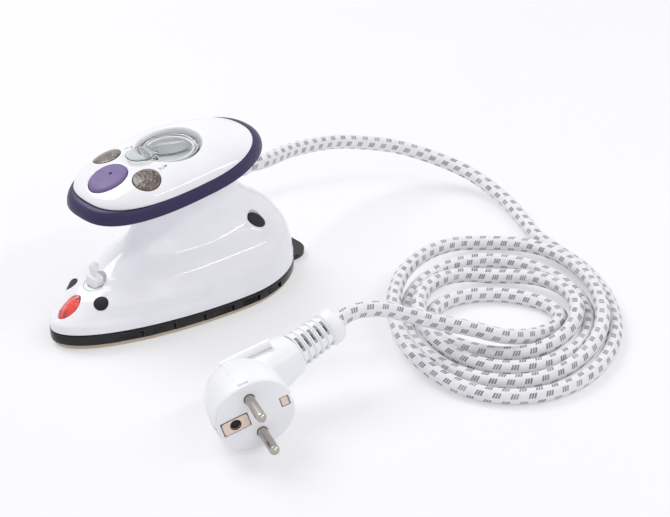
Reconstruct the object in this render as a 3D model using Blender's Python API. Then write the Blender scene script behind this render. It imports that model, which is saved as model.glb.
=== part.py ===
"""Mini steam iron with a stopper, a dial, a steam button and a coiled mains cord.

Metres, +Z up, nose towards -Y. The origin is on the table under the middle of the iron.
"""

import math

import bmesh
import bpy
from mathutils import Euler, Matrix, Vector

MM = 0.001
DEG = math.pi / 180

# Fits
GAP = 0.3 * MM
RUNNING_GAP = 0.15 * MM
OVERRUN = 1.0 * MM
SMOOTH_SIDES = 32
ROUND_SIDES = 24
SMALL_SIDES = 16
SCREW_SIDES = 12
GRIP_END_SIDES = 3
RING_SIDES = 36

# Soleplate and skirt
SOLE_HALF_WIDTH = 35.0 * MM
SOLE_NOSE = 75.3 * MM
SOLE_HEEL = 65.8 * MM
WIDEST_Y = 22.0 * MM
SOLE_EDGE_HEIGHT = 2.6 * MM
SOLE_HEIGHT = 9.5 * MM
SOLE_STEP = 1.2 * MM
SKIRT_OUTSET = 2.4 * MM
SKIRT_HEEL_OUTSET = 2.0 * MM
SKIRT_TOP = 10.5 * MM
SKIRT_NOTCH_HEIGHT = 3.2 * MM
SKIRT_NOTCH_DEPTH = 1.0 * MM
SKIRT_NOTCH_LENGTH = 9.0 * MM
TAB_HALF_WIDTH = 17.0 * MM
TAB_REACH = 11.9 * MM
TAB_END = SOLE_HEEL + TAB_REACH
TAB_THICKNESS = 2.5 * MM
TAB_CORNER = 10.0 * MM
VENT_RADIUS = 1.1 * MM
CHAMBER_HALF_WIDTH = 6.0 * MM
CHAMBER_HALF_LENGTH = 12.5 * MM
CHAMBER_Y = -22.5 * MM
CHAMBER_FLOOR = 4.8 * MM
COVER_MARGIN = 1.4 * MM
COVER_THICKNESS = 3.2 * MM

# Hull and neck. The shares place what sits in the hull: of its half width, its nose or heel
# and its height
SHELL_BOTTOM = 10.8 * MM
SHELL_HEIGHT = 51.7 * MM
SHELL_HALF_WIDTH = SOLE_HALF_WIDTH + SKIRT_OUTSET
SHELL_NOSE = SOLE_NOSE + SKIRT_OUTSET
SHELL_HEEL = SOLE_HEEL + SKIRT_HEEL_OUTSET
SHELL_WALL = 2.2 * MM

# Handle
HANDLE_RISE = 7.3 * MM
HANDLE_Z = SHELL_BOTTOM + SHELL_HEIGHT + HANDLE_RISE
HANDLE_TILT = 4.57 * DEG
BAND_HEIGHT = 6.3 * MM
BAND_WALL = 2.6 * MM
RIM_HALF_WIDTH = 29.5 * MM
RIM_FRONT = 50.0 * MM
RIM_REAR = 44.2 * MM
RIM_WIDEST_Y = 2.0 * MM
RIM_BULGE = 1.0 * MM
RIM_FRONT_SLOPE = 7.0 * MM
RIM_REAR_SLOPE = 6.0 * MM
RIM_SWEEP = 2.4 * MM
CROWN_HEIGHT = 11.2 * MM
CROWN_CENTRE_Y = 3.7 * MM
CROWN_WALL = 2.0 * MM
LIP_HEIGHT = 2.2 * MM
LIP_WALL = 1.2 * MM
COLLAR_Z = -7.0 * MM
COLLAR_HALF_WIDTH = 19.9 * MM
COLLAR_FRONT = 29.9 * MM
COLLAR_REAR = 37.9 * MM
COLLAR_WIDEST_Y = 4.0 * MM
FLOOR_WALL = 2.2 * MM
BRIDGE_THICKNESS = 2.0 * MM
BRIDGE_DEPTH = 8.0 * MM

# Dial
DIAL_Y = -0.5 * MM
DISC_RADIUS = 15.0 * MM
DISC_BOTTOM = 11.4 * MM
DISC_THICKNESS = 2.0 * MM
RECESS_RADIUS = 15.5 * MM
RECESS_FLARE = 1.1 * MM
RECESS_WALL = 1.6 * MM
RECESS_FLOOR = 1.4 * MM
LOBE_RADIUS = 7.2 * MM
LOBE_OFFSET = 17.4 * MM
LOBE_BOTTOM = 17.3 * MM
LOBE_THICKNESS = 1.3 * MM
ARM_INNER = 10.0 * MM
ARM_OUTER = 14.4 * MM
ARM_HALF_WIDTH = 4.0 * MM
LEAF_HALF_LENGTH = 13.0 * MM
LEAF_HALF_WIDTH = 3.4 * MM
LEAF_HEIGHT = 4.8 * MM
LEAF_TURN = 26 * DEG
SPINDLE_RADIUS = 2.0 * MM
SPINDLE_LENGTH = 59.5 * MM

# Steam button, lever and valve rod
BUTTON_Y = -38.0 * MM
BUTTON_HALF_WIDTH = 8.7 * MM
BUTTON_HALF_LENGTH = 10.0 * MM
BUTTON_PROUD = 1.0 * MM
BUTTON_BOTTOM = 9.0 * MM
BUTTON_DOT_Y = -36.2 * MM
BUTTON_DOT_RADIUS = 0.9 * MM
BUTTON_DOT_DEPTH = 0.8 * MM
STEM_RADIUS = 1.6 * MM
LEVER_PIVOT_Y = -27.0 * MM
LEVER_PIVOT_Z = 3.0 * MM
LEVER_HALF_WIDTH = 3.9 * MM
LEVER_THICKNESS = 2.0 * MM
LEVER_FRONT_Y = -40.5 * MM
LEVER_REAR_Y = -13.8 * MM
HUB_RADIUS = 2.6 * MM
PIN_RADIUS = 1.2 * MM
PIN_HALF_LENGTH = 6.3 * MM
EAR_THICKNESS = 2.0 * MM
EAR_LENGTH = 8.5 * MM
ROD_Y = -15.0 * MM
ROD_RADIUS = 1.5 * MM
ROD_BOTTOM = 14.6 * MM
ROD_COLLAR_RADIUS = 3.4 * MM
ROD_COLLAR_BOTTOM = 72.8 * MM
ROD_COLLAR_THICKNESS = 1.5 * MM
SHOULDER_RADIUS = 3.6 * MM
SHOULDER_BOTTOM = 47.5 * MM
SHOULDER_THICKNESS = 2.0 * MM
SPRING_RADIUS = 2.9 * MM
SPRING_WIRE_RADIUS = 0.4 * MM
SPRING_TOP = 60.9 * MM
SPRING_TURNS = 5
SPRING_TURN_POINTS = 8

# Indicator lights in the crown and the lamp in the nose
LENS_X = 16.0 * MM
LENS_Y = -26.7 * MM
LENS_RADIUS = 7.0 * MM
LENS_BOTTOM = 10.4 * MM
LENS_PROUD = 0.25 * MM
BOARD_HALF_WIDTH = 22.0 * MM
BOARD_FRONT_Y = -27.2 * MM
BOARD_REAR_Y = -19.2 * MM
BOARD_BOTTOM = 6.4 * MM
BOARD_THICKNESS = 1.4 * MM
LAMP_RADIUS = 2.2 * MM
LAMP_Y = -24.6 * MM
POST_RADIUS = 2.0 * MM
POST_X = 19.5 * MM
POST_Y = -24.0 * MM
PILOT_SHARES = (0.8494, 0.1412)
PILOT_Y = -SHELL_NOSE * PILOT_SHARES[0]
PILOT_Z = SHELL_BOTTOM + SHELL_HEIGHT * PILOT_SHARES[1]
PILOT_TILT = 41 * DEG
PILOT_HALF_WIDTH = 4.3 * MM
PILOT_HALF_LENGTH = 7.4 * MM
PILOT_DEPTH = 2.6 * MM
PILOT_PROUD = 0.9 * MM
PILOT_FACET = 1.5 * MM
PILOT_LAMP_RADIUS = 2.4 * MM
PILOT_LAMP_LENGTH = 4.6 * MM

# Water filler
FILLER_SHARES = (0.65, 0.2785)
FILLER_Y = -SHELL_NOSE * FILLER_SHARES[0]
POCKET_RADIUS = 6.0 * MM
FILLER_BORE = 3.2 * MM
FILLER_TOP = SHELL_BOTTOM + SHELL_HEIGHT * FILLER_SHARES[1]
FILLER_FLANGE = 2.4 * MM
FILLER_TUBE_RADIUS = 4.6 * MM
FILLER_BOTTOM = 16.4 * MM
BRANCH_RADIUS = 2.2 * MM
BRANCH_Z = 19.6 * MM
STOPPER_RADIUS = 2.9 * MM
STOPPER_DEPTH = 4.4 * MM
STOPPER_BLOCK_HALF_WIDTH = 4.0 * MM
STOPPER_BLOCK_HALF_LENGTH = 3.1 * MM
STOPPER_BLOCK_HEIGHT = 5.4 * MM
KNOB_STEM_RADIUS = 1.6 * MM
KNOB_RADIUS = 2.6 * MM
KNOB_Z = 35.2 * MM

# Case screws under their caps
FRONT_SCREW_SHARES = (0.329, 0.7246, 0.0967)
FRONT_SCREW_X = SHELL_HALF_WIDTH * FRONT_SCREW_SHARES[0]
FRONT_SCREW_Y = -SHELL_NOSE * FRONT_SCREW_SHARES[1]
FRONT_SCREW_SEAT = SHELL_BOTTOM + SHELL_HEIGHT * FRONT_SCREW_SHARES[2]
REAR_SCREW_SHARES = (0.4652, 0.5649, 0.3037)
REAR_SCREW_X = SHELL_HALF_WIDTH * REAR_SCREW_SHARES[0]
REAR_SCREW_Y = SHELL_HEEL * REAR_SCREW_SHARES[1]
REAR_SCREW_SEAT = SHELL_BOTTOM + SHELL_HEIGHT * REAR_SCREW_SHARES[2]
CAP_RADIUS = 3.4 * MM
REAR_CAP_RADIUS = 4.5 * MM
CAP_PROUD = 0.25 * MM
BOSS_WALL = 1.3 * MM
SCREW_HEAD_RADIUS = 3.0 * MM
SCREW_HEAD_HEIGHT = 2.2 * MM
SCREW_SHANK_RADIUS = 1.5 * MM
SCREW_END = 5.2 * MM
SOCKET_DEPTH = 1.2 * MM
SOCKET_RADIUS = 1.3 * MM
HANDLE_SCREW_X = 10.5 * MM
HANDLE_SCREW_Y = 12.0 * MM
HANDLE_SCREW_LENGTH = 10.0 * MM
HANDLE_BOSS_RADIUS = 3.4 * MM
HANDLE_BOSS_LENGTH = 13.0 * MM

# Heat and mains inside the hull
ELEMENT_RADIUS = 3.0 * MM
ELEMENT_HALF_WIDTH = 14.5 * MM
ELEMENT_FRONT_Y = -46.5 * MM
ELEMENT_REAR_Y = 34.0 * MM
ELEMENT_TAIL_X = 8.2 * MM
ELEMENT_END_Y = 51.0 * MM
ELEMENT_RISE = 9.0 * MM
THERMOSTAT_HALF_WIDTH = 8.0 * MM
THERMOSTAT_FRONT_Y = -8.0 * MM
THERMOSTAT_REAR_Y = 18.0 * MM
THERMOSTAT_HEIGHT = 6.2 * MM
BUSH_RADIUS = 3.4 * MM
FUSE_RADIUS = 2.4 * MM
FUSE_FRONT_Y = 20.0 * MM
FUSE_LENGTH = 15.0 * MM
VALVE_SEAT_RADIUS = 4.0 * MM
VALVE_SEAT_HEIGHT = 3.9 * MM
VALVE_SEAT_FLOOR = 1.0 * MM
DRIP_RADIUS = 0.8 * MM
TANK_BOTTOM = 17.5 * MM
TANK_TOP = 30.5 * MM
TANK_HALF_WIDTH = 19.0 * MM
TANK_FRONT_Y = -42.5 * MM
TANK_TOP_FRONT_Y = -35.0 * MM
TANK_REAR_Y = -9.0 * MM
TANK_WIDEST_Y = -17.0 * MM
TANK_TOP_HALF_WIDTH = 15.5 * MM
TANK_BORE = 2.4 * MM
BLOCK_HALF_WIDTH = 11.4 * MM
BLOCK_FRONT_Y = 30.5 * MM
BLOCK_REAR_Y = 40.5 * MM
BLOCK_HEIGHT = 8.0 * MM
BLOCK_SLOT = 3.0 * MM

# Mains cord
CORD_RADIUS = 3.75 * MM
CORD_EXIT_SHARES = (0.5251, 0.9284)
CORD_EXIT_Y = SHELL_HEEL * CORD_EXIT_SHARES[0]
CORD_EXIT_Z = SHELL_BOTTOM + SHELL_HEIGHT * CORD_EXIT_SHARES[1]
CORD_PITCH = 8.0 * DEG
GLAND_BORE_RADIUS = 4.7 * MM
GLAND_FLANGE_RADIUS = 5.9 * MM
GLAND_FLANGE = 1.6 * MM
GLAND_LENGTH = 11.0 * MM
GLAND_ROOT_RADIUS = 5.2 * MM
GLAND_TIP_RADIUS = 4.6 * MM
GLAND_SEAT = 6.2 * MM
GLAND_INSIDE = 9.0 * MM
GLAND_RIBS = 3
CLAMP_HALF_WIDTH = 7.5 * MM
CLAMP_HALF_HEIGHT = 5.4 * MM
CLAMP_LENGTH = 4.5 * MM
LEAD_ROUTE = [
    (-3.1, 63.5, 53.6),
    (-12.8, 89.4, 47.0),
    (-19.2, 124.8, 37.0),
    (-16.9, 146.2, 30.0),
    (-11.3, 164.3, 23.5),
    (4.4, 181.7, 15.5),
    (22.2, 189.2, 10.5),
    (47.6, 188.8, 6.0),
    (69.0, 181.7, 4.3),
    (86.0, 174.5, 4.1),
]
TAIL_ROUTE = [
    (156.0, 96.0, 7.5),
    (153.5, 79.9, 13.0),
    (143.6, 67.1, 18.0),
    (133.9, 54.2, 22.5),
    (127.7, 42.7, 28.0),
    (122.6, 30.5, 34.0),
    (119.9, 20.7, 36.8),
]
COIL_X = 131.3 * MM
COIL_Y = 100.9 * MM
COIL_TURN = 48.4 * DEG
COIL_HALF_WIDTH = 56.5 * MM
COIL_FRONT = 69.6 * MM
COIL_BACK = 75.0 * MM
COIL_WIDTH_PITCH = 6.3 * MM
COIL_FRONT_PITCH = 12.3 * MM
COIL_BACK_PITCH = 17.3 * MM
COIL_OUTER_PITCH = 9.0 * MM
COIL_LIFT = 7.0 * MM
COIL_FLOOR = 4.0 * MM
COIL_DRAW_IN = 3.0 * MM
COIL_DRAW_IN_TURNS = 0.35
COIL_START_TURNS = 0.11
COIL_END_TURNS = 4.36
COIL_TURN_POINTS = 24

# Mains plug
PLUG_X = 134.9 * MM
PLUG_Y = -60.0 * MM
PLUG_Z = 20.6 * MM
PLUG_POSE = Euler((-86.7 * DEG, 16.9 * DEG, -110.3 * DEG))
PLUG_RADIUS = 19.0 * MM
PLUG_FLAT = 17.6 * MM
PLUG_DEPTH = 35.0 * MM
PLUG_ARM_DEPTH = 24.7 * MM
PLUG_ARM_TURN = 14.7 * DEG
PLUG_ARM_LENGTH = 32.0 * MM
PLUG_ARM_HALF_WIDTH = 12.5 * MM
PLUG_ARM_HALF_HEIGHT = 11.0 * MM
GRIP_RADIUS = 2.2 * MM
GRIP_DEPTH = 29.6 * MM
GRIP_OFFSET = 12.6 * MM
GRIP_START = 3.5 * MM
GRIP_END = -22.0 * MM
BOOT_LENGTH = 26.5 * MM
BOOT_ROOT_RADIUS = 9.0 * MM
BOOT_TIP_RADIUS = 8.2 * MM
BOOT_RIBS = 5
BOOT_RIB_DEPTH = 0.9 * MM
BOOT_SLOT_HALF_WIDTH = 1.0 * MM
BOOT_SLOT_HALF_LENGTH = 3.6 * MM
BOOT_SLOT_DEPTH = 2.6 * MM
PIN_SPACING = 19.0 * MM
PLUG_PIN_RADIUS = 2.4 * MM
PLUG_PIN_LENGTH = 19.0 * MM
PLUG_PIN_ROOT = 4.0 * MM
EARTH_OFFSET = 10.0 * MM
EARTH_BORE = 2.5 * MM
EARTH_HALF_LENGTH = 6.4 * MM
EARTH_HALF_WIDTH = 3.3 * MM
EARTH_THICKNESS = 1.0 * MM
EARTH_HOLE_DEPTH = 14.0 * MM
CLIP_OFFSET = 14.6 * MM
CLIP_HALF_LENGTH = 1.8 * MM
CLIP_HALF_WIDTH = 2.1 * MM
NOTCH_HALF_WIDTH = 2.6 * MM
NOTCH_DEPTH = 3.0 * MM

# Sections of the hull from its foot to its neck, as shares of the hull's sizes: height, half
# width, place of the widest point, nose, heel, the two powers of the nose's curve and the heel's
HULL_SHARES = [
    (0.000, 1.000, 1.000, 1.000, 1.000, 1.85, 1.6, 2.0),
    (0.031, 0.997, 1.000, 0.994, 0.999, 1.85, 1.6, 2.0),
    (0.072, 0.987, 1.000, 0.960, 0.993, 1.85, 1.6, 2.0),
    (0.149, 0.963, 1.000, 0.869, 0.975, 2.0, 1.8, 2.1),
    (0.230, 0.928, 0.955, 0.785, 0.955, 2.2, 2.0, 2.2),
    (0.294, 0.893, 0.910, 0.677, 0.936, 2.2, 2.0, 2.3),
    (0.362, 0.850, 0.864, 0.602, 0.915, 2.1, 2.0, 2.3),
    (0.392, 0.815, 0.850, 0.566, 0.905, 2.0, 1.95, 2.2),
    (0.420, 0.765, 0.800, 0.533, 0.895, 2.0, 1.9, 2.1),
    (0.449, 0.695, 0.730, 0.495, 0.885, 1.9, 1.9, 2.0),
    (0.493, 0.585, 0.600, 0.445, 0.862, 1.9, 1.85, 1.95),
    (0.550, 0.522, 0.450, 0.400, 0.820, 1.85, 1.85, 2.0),
    (0.620, 0.480, 0.340, 0.358, 0.752, 1.8, 1.8, 2.1),
    (0.705, 0.455, 0.260, 0.322, 0.655, 1.8, 1.8, 2.2),
    (0.816, 0.444, 0.182, 0.312, 0.560, 1.8, 1.8, 2.0),
    (0.923, 0.465, 0.182, 0.330, 0.520, 1.9, 1.9, 2.0),
    (1.000, 0.524, 0.182, 0.378, 0.534, 2.0, 2.0, 2.0),
]
INNER_RINGS_LEFT_OUT = (1, 2, 4, 7, 9, 11, 15)
SOLE_POWERS = (1.85, 1.6)
HULL_LEAN_START_SHARE = 0.7
CROWN_RING_SHARES = (1.0, 0.985, 0.95, 0.89, 0.80, 0.68, 0.54, 0.40, 0.25, 0.1)
RIM_FRONT_POWERS = (2.7, 2.7)
RIM_REAR_POWERS = (2.25, 2.25)
FLOOR_SHARES = ((0.0, 0.0), (0.12, 0.35), (0.35, 0.68), (0.65, 0.9), (1.0, 1.0))
NOTCH_PLACE_SHARES = (-0.56, -0.33, -0.1, 0.13, 0.36, 0.58)
VENT_COLUMN_SHARES = (-0.62, 0.0, 0.62)
VENT_ROW_SHARES = (-0.6, 0.0, 0.6)
LEAF_SHARES = ((0.0, 1.0, 1.0), (0.45, 0.97, 0.8), (0.85, 0.9, 0.5), (1.0, 0.84, 0.3))
PLUG_DOME_SHARES = (
    (0.0, 0.96),
    (0.02, 1.0),
    (0.3, 1.0),
    (0.5, 0.97),
    (0.72, 0.86),
    (0.88, 0.68),
    (0.97, 0.45),
    (1.0, 0.25),
)
PLUG_ARM_SHARES = ((0.15, 1.0), (0.55, 0.98), (0.85, 0.86), (1.0, 0.78))
BOOT_END_SHARES = ((0.0, 1.0), (0.45, 1.07), (0.8, 0.95), (1.0, 0.66))
GLAND_RIB_SHARE = 0.9
COIL_LIFT_SHARE = 1.4

# Finishes: linear colour, roughness, metallic
WHITE = ((0.87, 0.87, 0.91), 0.28, 0.0)
BLACK = ((0.016, 0.016, 0.021), 0.45, 0.0)
PURPLE = ((0.07, 0.05, 0.13), 0.32, 0.0)
LILAC = ((0.20, 0.13, 0.34), 0.4, 0.0)
DARK_PURPLE = ((0.028, 0.018, 0.04), 0.35, 0.0)
STEEL = ((0.56, 0.55, 0.53), 0.35, 1.0)
TAN_METAL = ((0.58, 0.48, 0.37), 0.4, 0.8)
NICKEL = ((0.66, 0.63, 0.58), 0.12, 1.0)
BRASS = ((0.7, 0.5, 0.25), 0.3, 1.0)
COPPER = ((0.68, 0.46, 0.36), 0.35, 1.0)
BRONZE = ((0.17, 0.11, 0.09), 0.12, 0.8)
RED = ((0.72, 0.03, 0.02), 0.1, 0.0)
CLEAR = ((0.62, 0.66, 0.66), 0.08, 0.0)
GREEN = ((0.02, 0.14, 0.06), 0.5, 0.0)
TEXTILE = ((0.82, 0.82, 0.84), 0.9, 0.0)
MICA = ((0.5, 0.42, 0.3), 0.6, 0.0)


def clear_scene():
    for item in list(bpy.data.objects):
        bpy.data.objects.remove(item, do_unlink=True)


def paint(obj, finish):
    """Give the object its own material."""
    colour, roughness, metallic = finish
    surface = bpy.data.materials.new(obj.name)
    surface.use_nodes = True
    shader = surface.node_tree.nodes["Principled BSDF"]
    shader.inputs["Base Color"].default_value = (*colour, 1.0)
    shader.inputs["Roughness"].default_value = roughness
    shader.inputs["Metallic"].default_value = metallic
    surface.diffuse_color = (*colour, 1.0)
    obj.data.materials.clear()
    obj.data.materials.append(surface)
    return obj


def link(name, data, parent=None):
    obj = bpy.data.objects.new(name, data)
    bpy.context.scene.collection.objects.link(obj)
    obj.parent = parent
    return obj


def frame(name, location, rotation=None, parent=None):
    """An empty that places a group of pieces."""
    empty = link(name, None, parent)
    empty.location = location
    if rotation is not None:
        empty.rotation_euler = rotation
    return empty


def mesh_object(name, bm, parent=None):
    bmesh.ops.remove_doubles(bm, verts=bm.verts, dist=GAP / 1000)
    bmesh.ops.recalc_face_normals(bm, faces=bm.faces)
    mesh = bpy.data.meshes.new(name)
    bm.to_mesh(mesh)
    bm.free()
    mesh.shade_smooth()
    mesh.set_sharp_from_angle(angle=35 * DEG)
    return link(name, mesh, parent)


def add_rings(bm, rings, cyclic=False):
    """Skin successive rings of points, capped at both ends or joined last to first."""
    loops = [[bm.verts.new(point) for point in ring] for ring in rings]
    pairs = list(zip(loops, loops[1:]))
    if cyclic:
        pairs.append((loops[-1], loops[0]))
    for low, high in pairs:
        for i, corner in enumerate(low):
            j = (i + 1) % len(low)
            bm.faces.new((corner, low[j], high[j], high[i]))
    if not cyclic:
        bm.faces.new(loops[0])
        bm.faces.new(loops[-1])


def loft(name, rings, parent=None, cyclic=False):
    bm = bmesh.new()
    add_rings(bm, rings, cyclic)
    return mesh_object(name, bm, parent)


def circle(radius, z=0.0, sides=ROUND_SIDES, x=0.0, y=0.0):
    turns = [math.tau * i / sides for i in range(sides)]
    return [Vector((x + radius * math.cos(a), y + radius * math.sin(a), z)) for a in turns]


def turned(name, profile, parent=None, sides=ROUND_SIDES, x=0.0, y=0.0, cyclic=False):
    """Turn a (radius, height) profile about an upright axis."""
    rings = [circle(radius, z, sides, x, y) for radius, z in profile]
    return loft(name, rings, parent, cyclic)


def rods(name, places, radius, bottom, top, parent=None, sides=ROUND_SIDES):
    """Upright rods at the (x, y) places, in one mesh."""
    bm = bmesh.new()
    for x, y in places:
        add_rings(bm, [circle(radius, bottom, sides, x, y), circle(radius, top, sides, x, y)])
    return mesh_object(name, bm, parent)


def cross_rod(name, radius, half_length, y, z, parent=None, sides=SMALL_SIDES):
    """A rod along X."""
    ends = []
    for x in (-half_length, half_length):
        ends.append([Vector((x, y + p.x, z + p.y)) for p in circle(radius, 0.0, sides)])
    return loft(name, ends, parent)


def boxes(name, spans, parent=None):
    """Boxes between opposite corners, in one mesh."""
    bm = bmesh.new()
    for low, high in spans:
        xs, ys = (low[0], high[0]), (low[1], high[1])
        rings = []
        for z in (low[2], high[2]):
            rings.append(
                [Vector((xs[0], ys[0], z)), Vector((xs[1], ys[0], z)),
                 Vector((xs[1], ys[1], z)), Vector((xs[0], ys[1], z))]
            )
        add_rings(bm, rings)
    return mesh_object(name, bm, parent)


def combine(obj, operation, tool):
    """Boolean with a hidden tool."""
    tool.hide_render = True
    tool.display_type = "WIRE"
    change = obj.modifiers.new(operation.title(), "BOOLEAN")
    change.operation = operation
    change.solver = "EXACT"
    change.object = tool
    return obj


def cut(obj, tool):
    return combine(obj, "DIFFERENCE", tool)


def fuse(obj, tool):
    return combine(obj, "UNION", tool)


def keep_inside(obj, tool):
    return combine(obj, "INTERSECT", tool)


def power(value, exponent):
    return math.copysign(abs(value) ** exponent, value)


def outline(half_width, nose, heel, widest, nose_powers=(2, 2), heel_powers=(2, 2), z=0.0,
            points=RING_SIDES):
    """Closed outline from a front and a rear half that meet at the widest place."""
    ring = []
    for i in range(points):
        turn = math.tau * i / points
        across, along = math.cos(turn), math.sin(turn)
        powers = heel_powers if along >= 0 else nose_powers
        reach = heel - widest if along >= 0 else nose + widest
        x = half_width * power(across, 2 / powers[0])
        y = widest + reach * power(along, 2 / powers[1])
        ring.append(Vector((x, y, z)))
    return ring


def offset(ring, distance, z=None):
    """Move each point of a flat ring outwards."""
    moved = []
    for i, point in enumerate(ring):
        along = ring[(i + 1) % len(ring)] - ring[i - 1]
        outward = Vector((along.y, -along.x, 0.0)).normalized()
        place = point + outward * distance
        moved.append(Vector((place.x, place.y, point.z if z is None else z)))
    return moved


def inner_rings(rings, wall):
    """The same rings moved inwards by the wall, square to the skin between them."""
    inner = []
    for k, ring in enumerate(rings):
        below, above = rings[max(k - 1, 0)], rings[min(k + 1, len(rings) - 1)]
        moved = []
        for i, point in enumerate(ring):
            around = ring[(i + 1) % len(ring)] - ring[i - 1]
            outward = around.cross(above[i] - below[i]).normalized()
            place = point - outward * wall
            if k in (0, len(rings) - 1):
                flat = Vector((outward.x, outward.y, 0.0)).normalized()
                place = point - flat * wall
            moved.append(place)
        inner.append(moved)
    return inner


def sole_ring(outset, z):
    ring = outline(SOLE_HALF_WIDTH, SOLE_NOSE, SOLE_HEEL, WIDEST_Y, SOLE_POWERS)
    return offset(ring, outset, z)


def hull_rings():
    """Outer rings of the hull and neck. Its top leans with the handle."""
    rings = []
    for share, width, widest, nose, heel, across, along, rear in HULL_SHARES:
        ring = outline(
            SHELL_HALF_WIDTH * width, SHELL_NOSE * nose, SHELL_HEEL * heel, WIDEST_Y * widest,
            (across, along), (rear, rear),
        )
        lean = max(share - HULL_LEAN_START_SHARE, 0) / (1 - HULL_LEAN_START_SHARE)
        for point in ring:
            point.z = SHELL_BOTTOM + SHELL_HEIGHT * share
            point.z += lean * math.tan(HANDLE_TILT) * point.y
        rings.append(ring)
    return rings


def smooth_route(route, step):
    """Points at an even step along a smooth curve. The first and last runs stay straight."""
    fine = []
    for a, b, c, d in zip(route, route[1:], route[2:], route[3:]):
        pieces = max(int((c - b).length / step * 8), 4)
        for i in range(pieces):
            t = i / pieces
            fine.append(
                0.5 * (2 * b + (c - a) * t + (2 * a - 5 * b + 4 * c - d) * t**2
                       + (3 * b - a - 3 * c + d) * t**3)
            )
    fine.append(route[-2])
    length = sum((b - a).length for a, b in zip(fine, fine[1:]))
    count = max(round(length / step), 2)
    spaced, run = [fine[0]], 0.0
    for a, b in zip(fine, fine[1:]):
        run += (b - a).length
        if run >= length / count * len(spaced) and len(spaced) < count:
            spaced.append(b)
    return [route[0], *spaced, fine[-1], route[-1]]


def tube(name, points, radius, resolution, parent=None):
    """A round tube along the points, with closed ends."""
    curve = bpy.data.curves.new(name, "CURVE")
    curve.dimensions = "3D"
    curve.bevel_depth = radius
    curve.bevel_resolution = resolution
    curve.use_fill_caps = True
    line = curve.splines.new("POLY")
    line.points.add(len(points) - 1)
    for corner, place in zip(line.points, points):
        corner.co = (*place, 1.0)
    return link(name, curve, parent)


def soleplate():
    """Pressed plate with a bright edge, a steam chamber and its vents."""
    rings = [sole_ring(-SOLE_STEP / 2, 0.0), sole_ring(0.0, SOLE_STEP / 2),
             sole_ring(0.0, SOLE_EDGE_HEIGHT), sole_ring(-SOLE_STEP, SOLE_EDGE_HEIGHT),
             sole_ring(-SOLE_STEP, SOLE_HEIGHT)]
    plate = loft("soleplate", rings)
    chamber = outline(
        CHAMBER_HALF_WIDTH, CHAMBER_HALF_LENGTH - CHAMBER_Y, CHAMBER_HALF_LENGTH + CHAMBER_Y,
        CHAMBER_Y, points=ROUND_SIDES,
    )
    pocket = loft("chamber_cutter", [
        [Vector((p.x, p.y, z)) for p in chamber] for z in (CHAMBER_FLOOR, SOLE_HEIGHT + OVERRUN)
    ])
    cut(plate, pocket)
    places = []
    for column in VENT_COLUMN_SHARES:
        for row in VENT_ROW_SHARES:
            places.append((CHAMBER_HALF_WIDTH * column, CHAMBER_Y + CHAMBER_HALF_LENGTH * row))
    cut(plate, rods("vent_cutter", places, VENT_RADIUS, -OVERRUN, CHAMBER_FLOOR + OVERRUN,
                    sides=SMALL_SIDES // 2))
    cut(plate, rods("thread_cutter", screw_places(), SCREW_SHANK_RADIUS + GAP,
                    SCREW_END - GAP, SOLE_HEIGHT + OVERRUN, sides=SMALL_SIDES))
    return paint(plate, TAN_METAL)


def screw_places():
    return [
        (side * x, y)
        for x, y in ((FRONT_SCREW_X, FRONT_SCREW_Y), (REAR_SCREW_X, REAR_SCREW_Y))
        for side in (-1, 1)
    ]


def heat_shield():
    """Black skirt round the plate with shallow notches and the heel tab."""
    low, high = SOLE_EDGE_HEIGHT + GAP, SKIRT_TOP
    inner = GAP - SOLE_STEP
    rings = [sole_ring(SKIRT_OUTSET, low), sole_ring(SKIRT_OUTSET, high),
             sole_ring(inner, high), sole_ring(inner, low)]
    skirt = loft("heat_shield", rings, cyclic=True)
    notches = []
    half_way = sole_ring(SKIRT_OUTSET, low)
    for share in NOTCH_PLACE_SHARES:
        y = SOLE_NOSE * share
        for side in (-1, 1):
            near = min((p for p in half_way if p.x * side > 0), key=lambda p: abs(p.y - y))
            notches.append((
                (near.x - SKIRT_NOTCH_DEPTH, y - SKIRT_NOTCH_LENGTH / 2, low - OVERRUN),
                (near.x + SKIRT_NOTCH_DEPTH, y + SKIRT_NOTCH_LENGTH / 2, low + SKIRT_NOTCH_HEIGHT),
            ))
    cut(skirt, boxes("notch_cutter", notches))
    tab_start = SOLE_HEEL + SKIRT_OUTSET - OVERRUN
    corner = []
    for i in range(5):
        turn = math.pi / 2 * i / 4
        corner.append((TAB_HALF_WIDTH - TAB_CORNER * (1 - math.cos(turn)),
                       TAB_END - TAB_CORNER * (1 - math.sin(turn))))
    inner_y = tab_start - TAB_CORNER / 2
    edge = [(-TAB_HALF_WIDTH, inner_y), (TAB_HALF_WIDTH, inner_y), *corner,
            *[(-x, y) for x, y in reversed(corner)]]
    tab = loft("tab_tool", [[Vector((x, y, z)) for x, y in edge]
                            for z in (low, low + TAB_THICKNESS)])
    keep_clear = loft("tab_trim", [sole_ring(inner, z) for z in (low - OVERRUN, high)])
    cut(tab, keep_clear)
    fuse(skirt, tab)
    return paint(skirt, BLACK)


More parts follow.
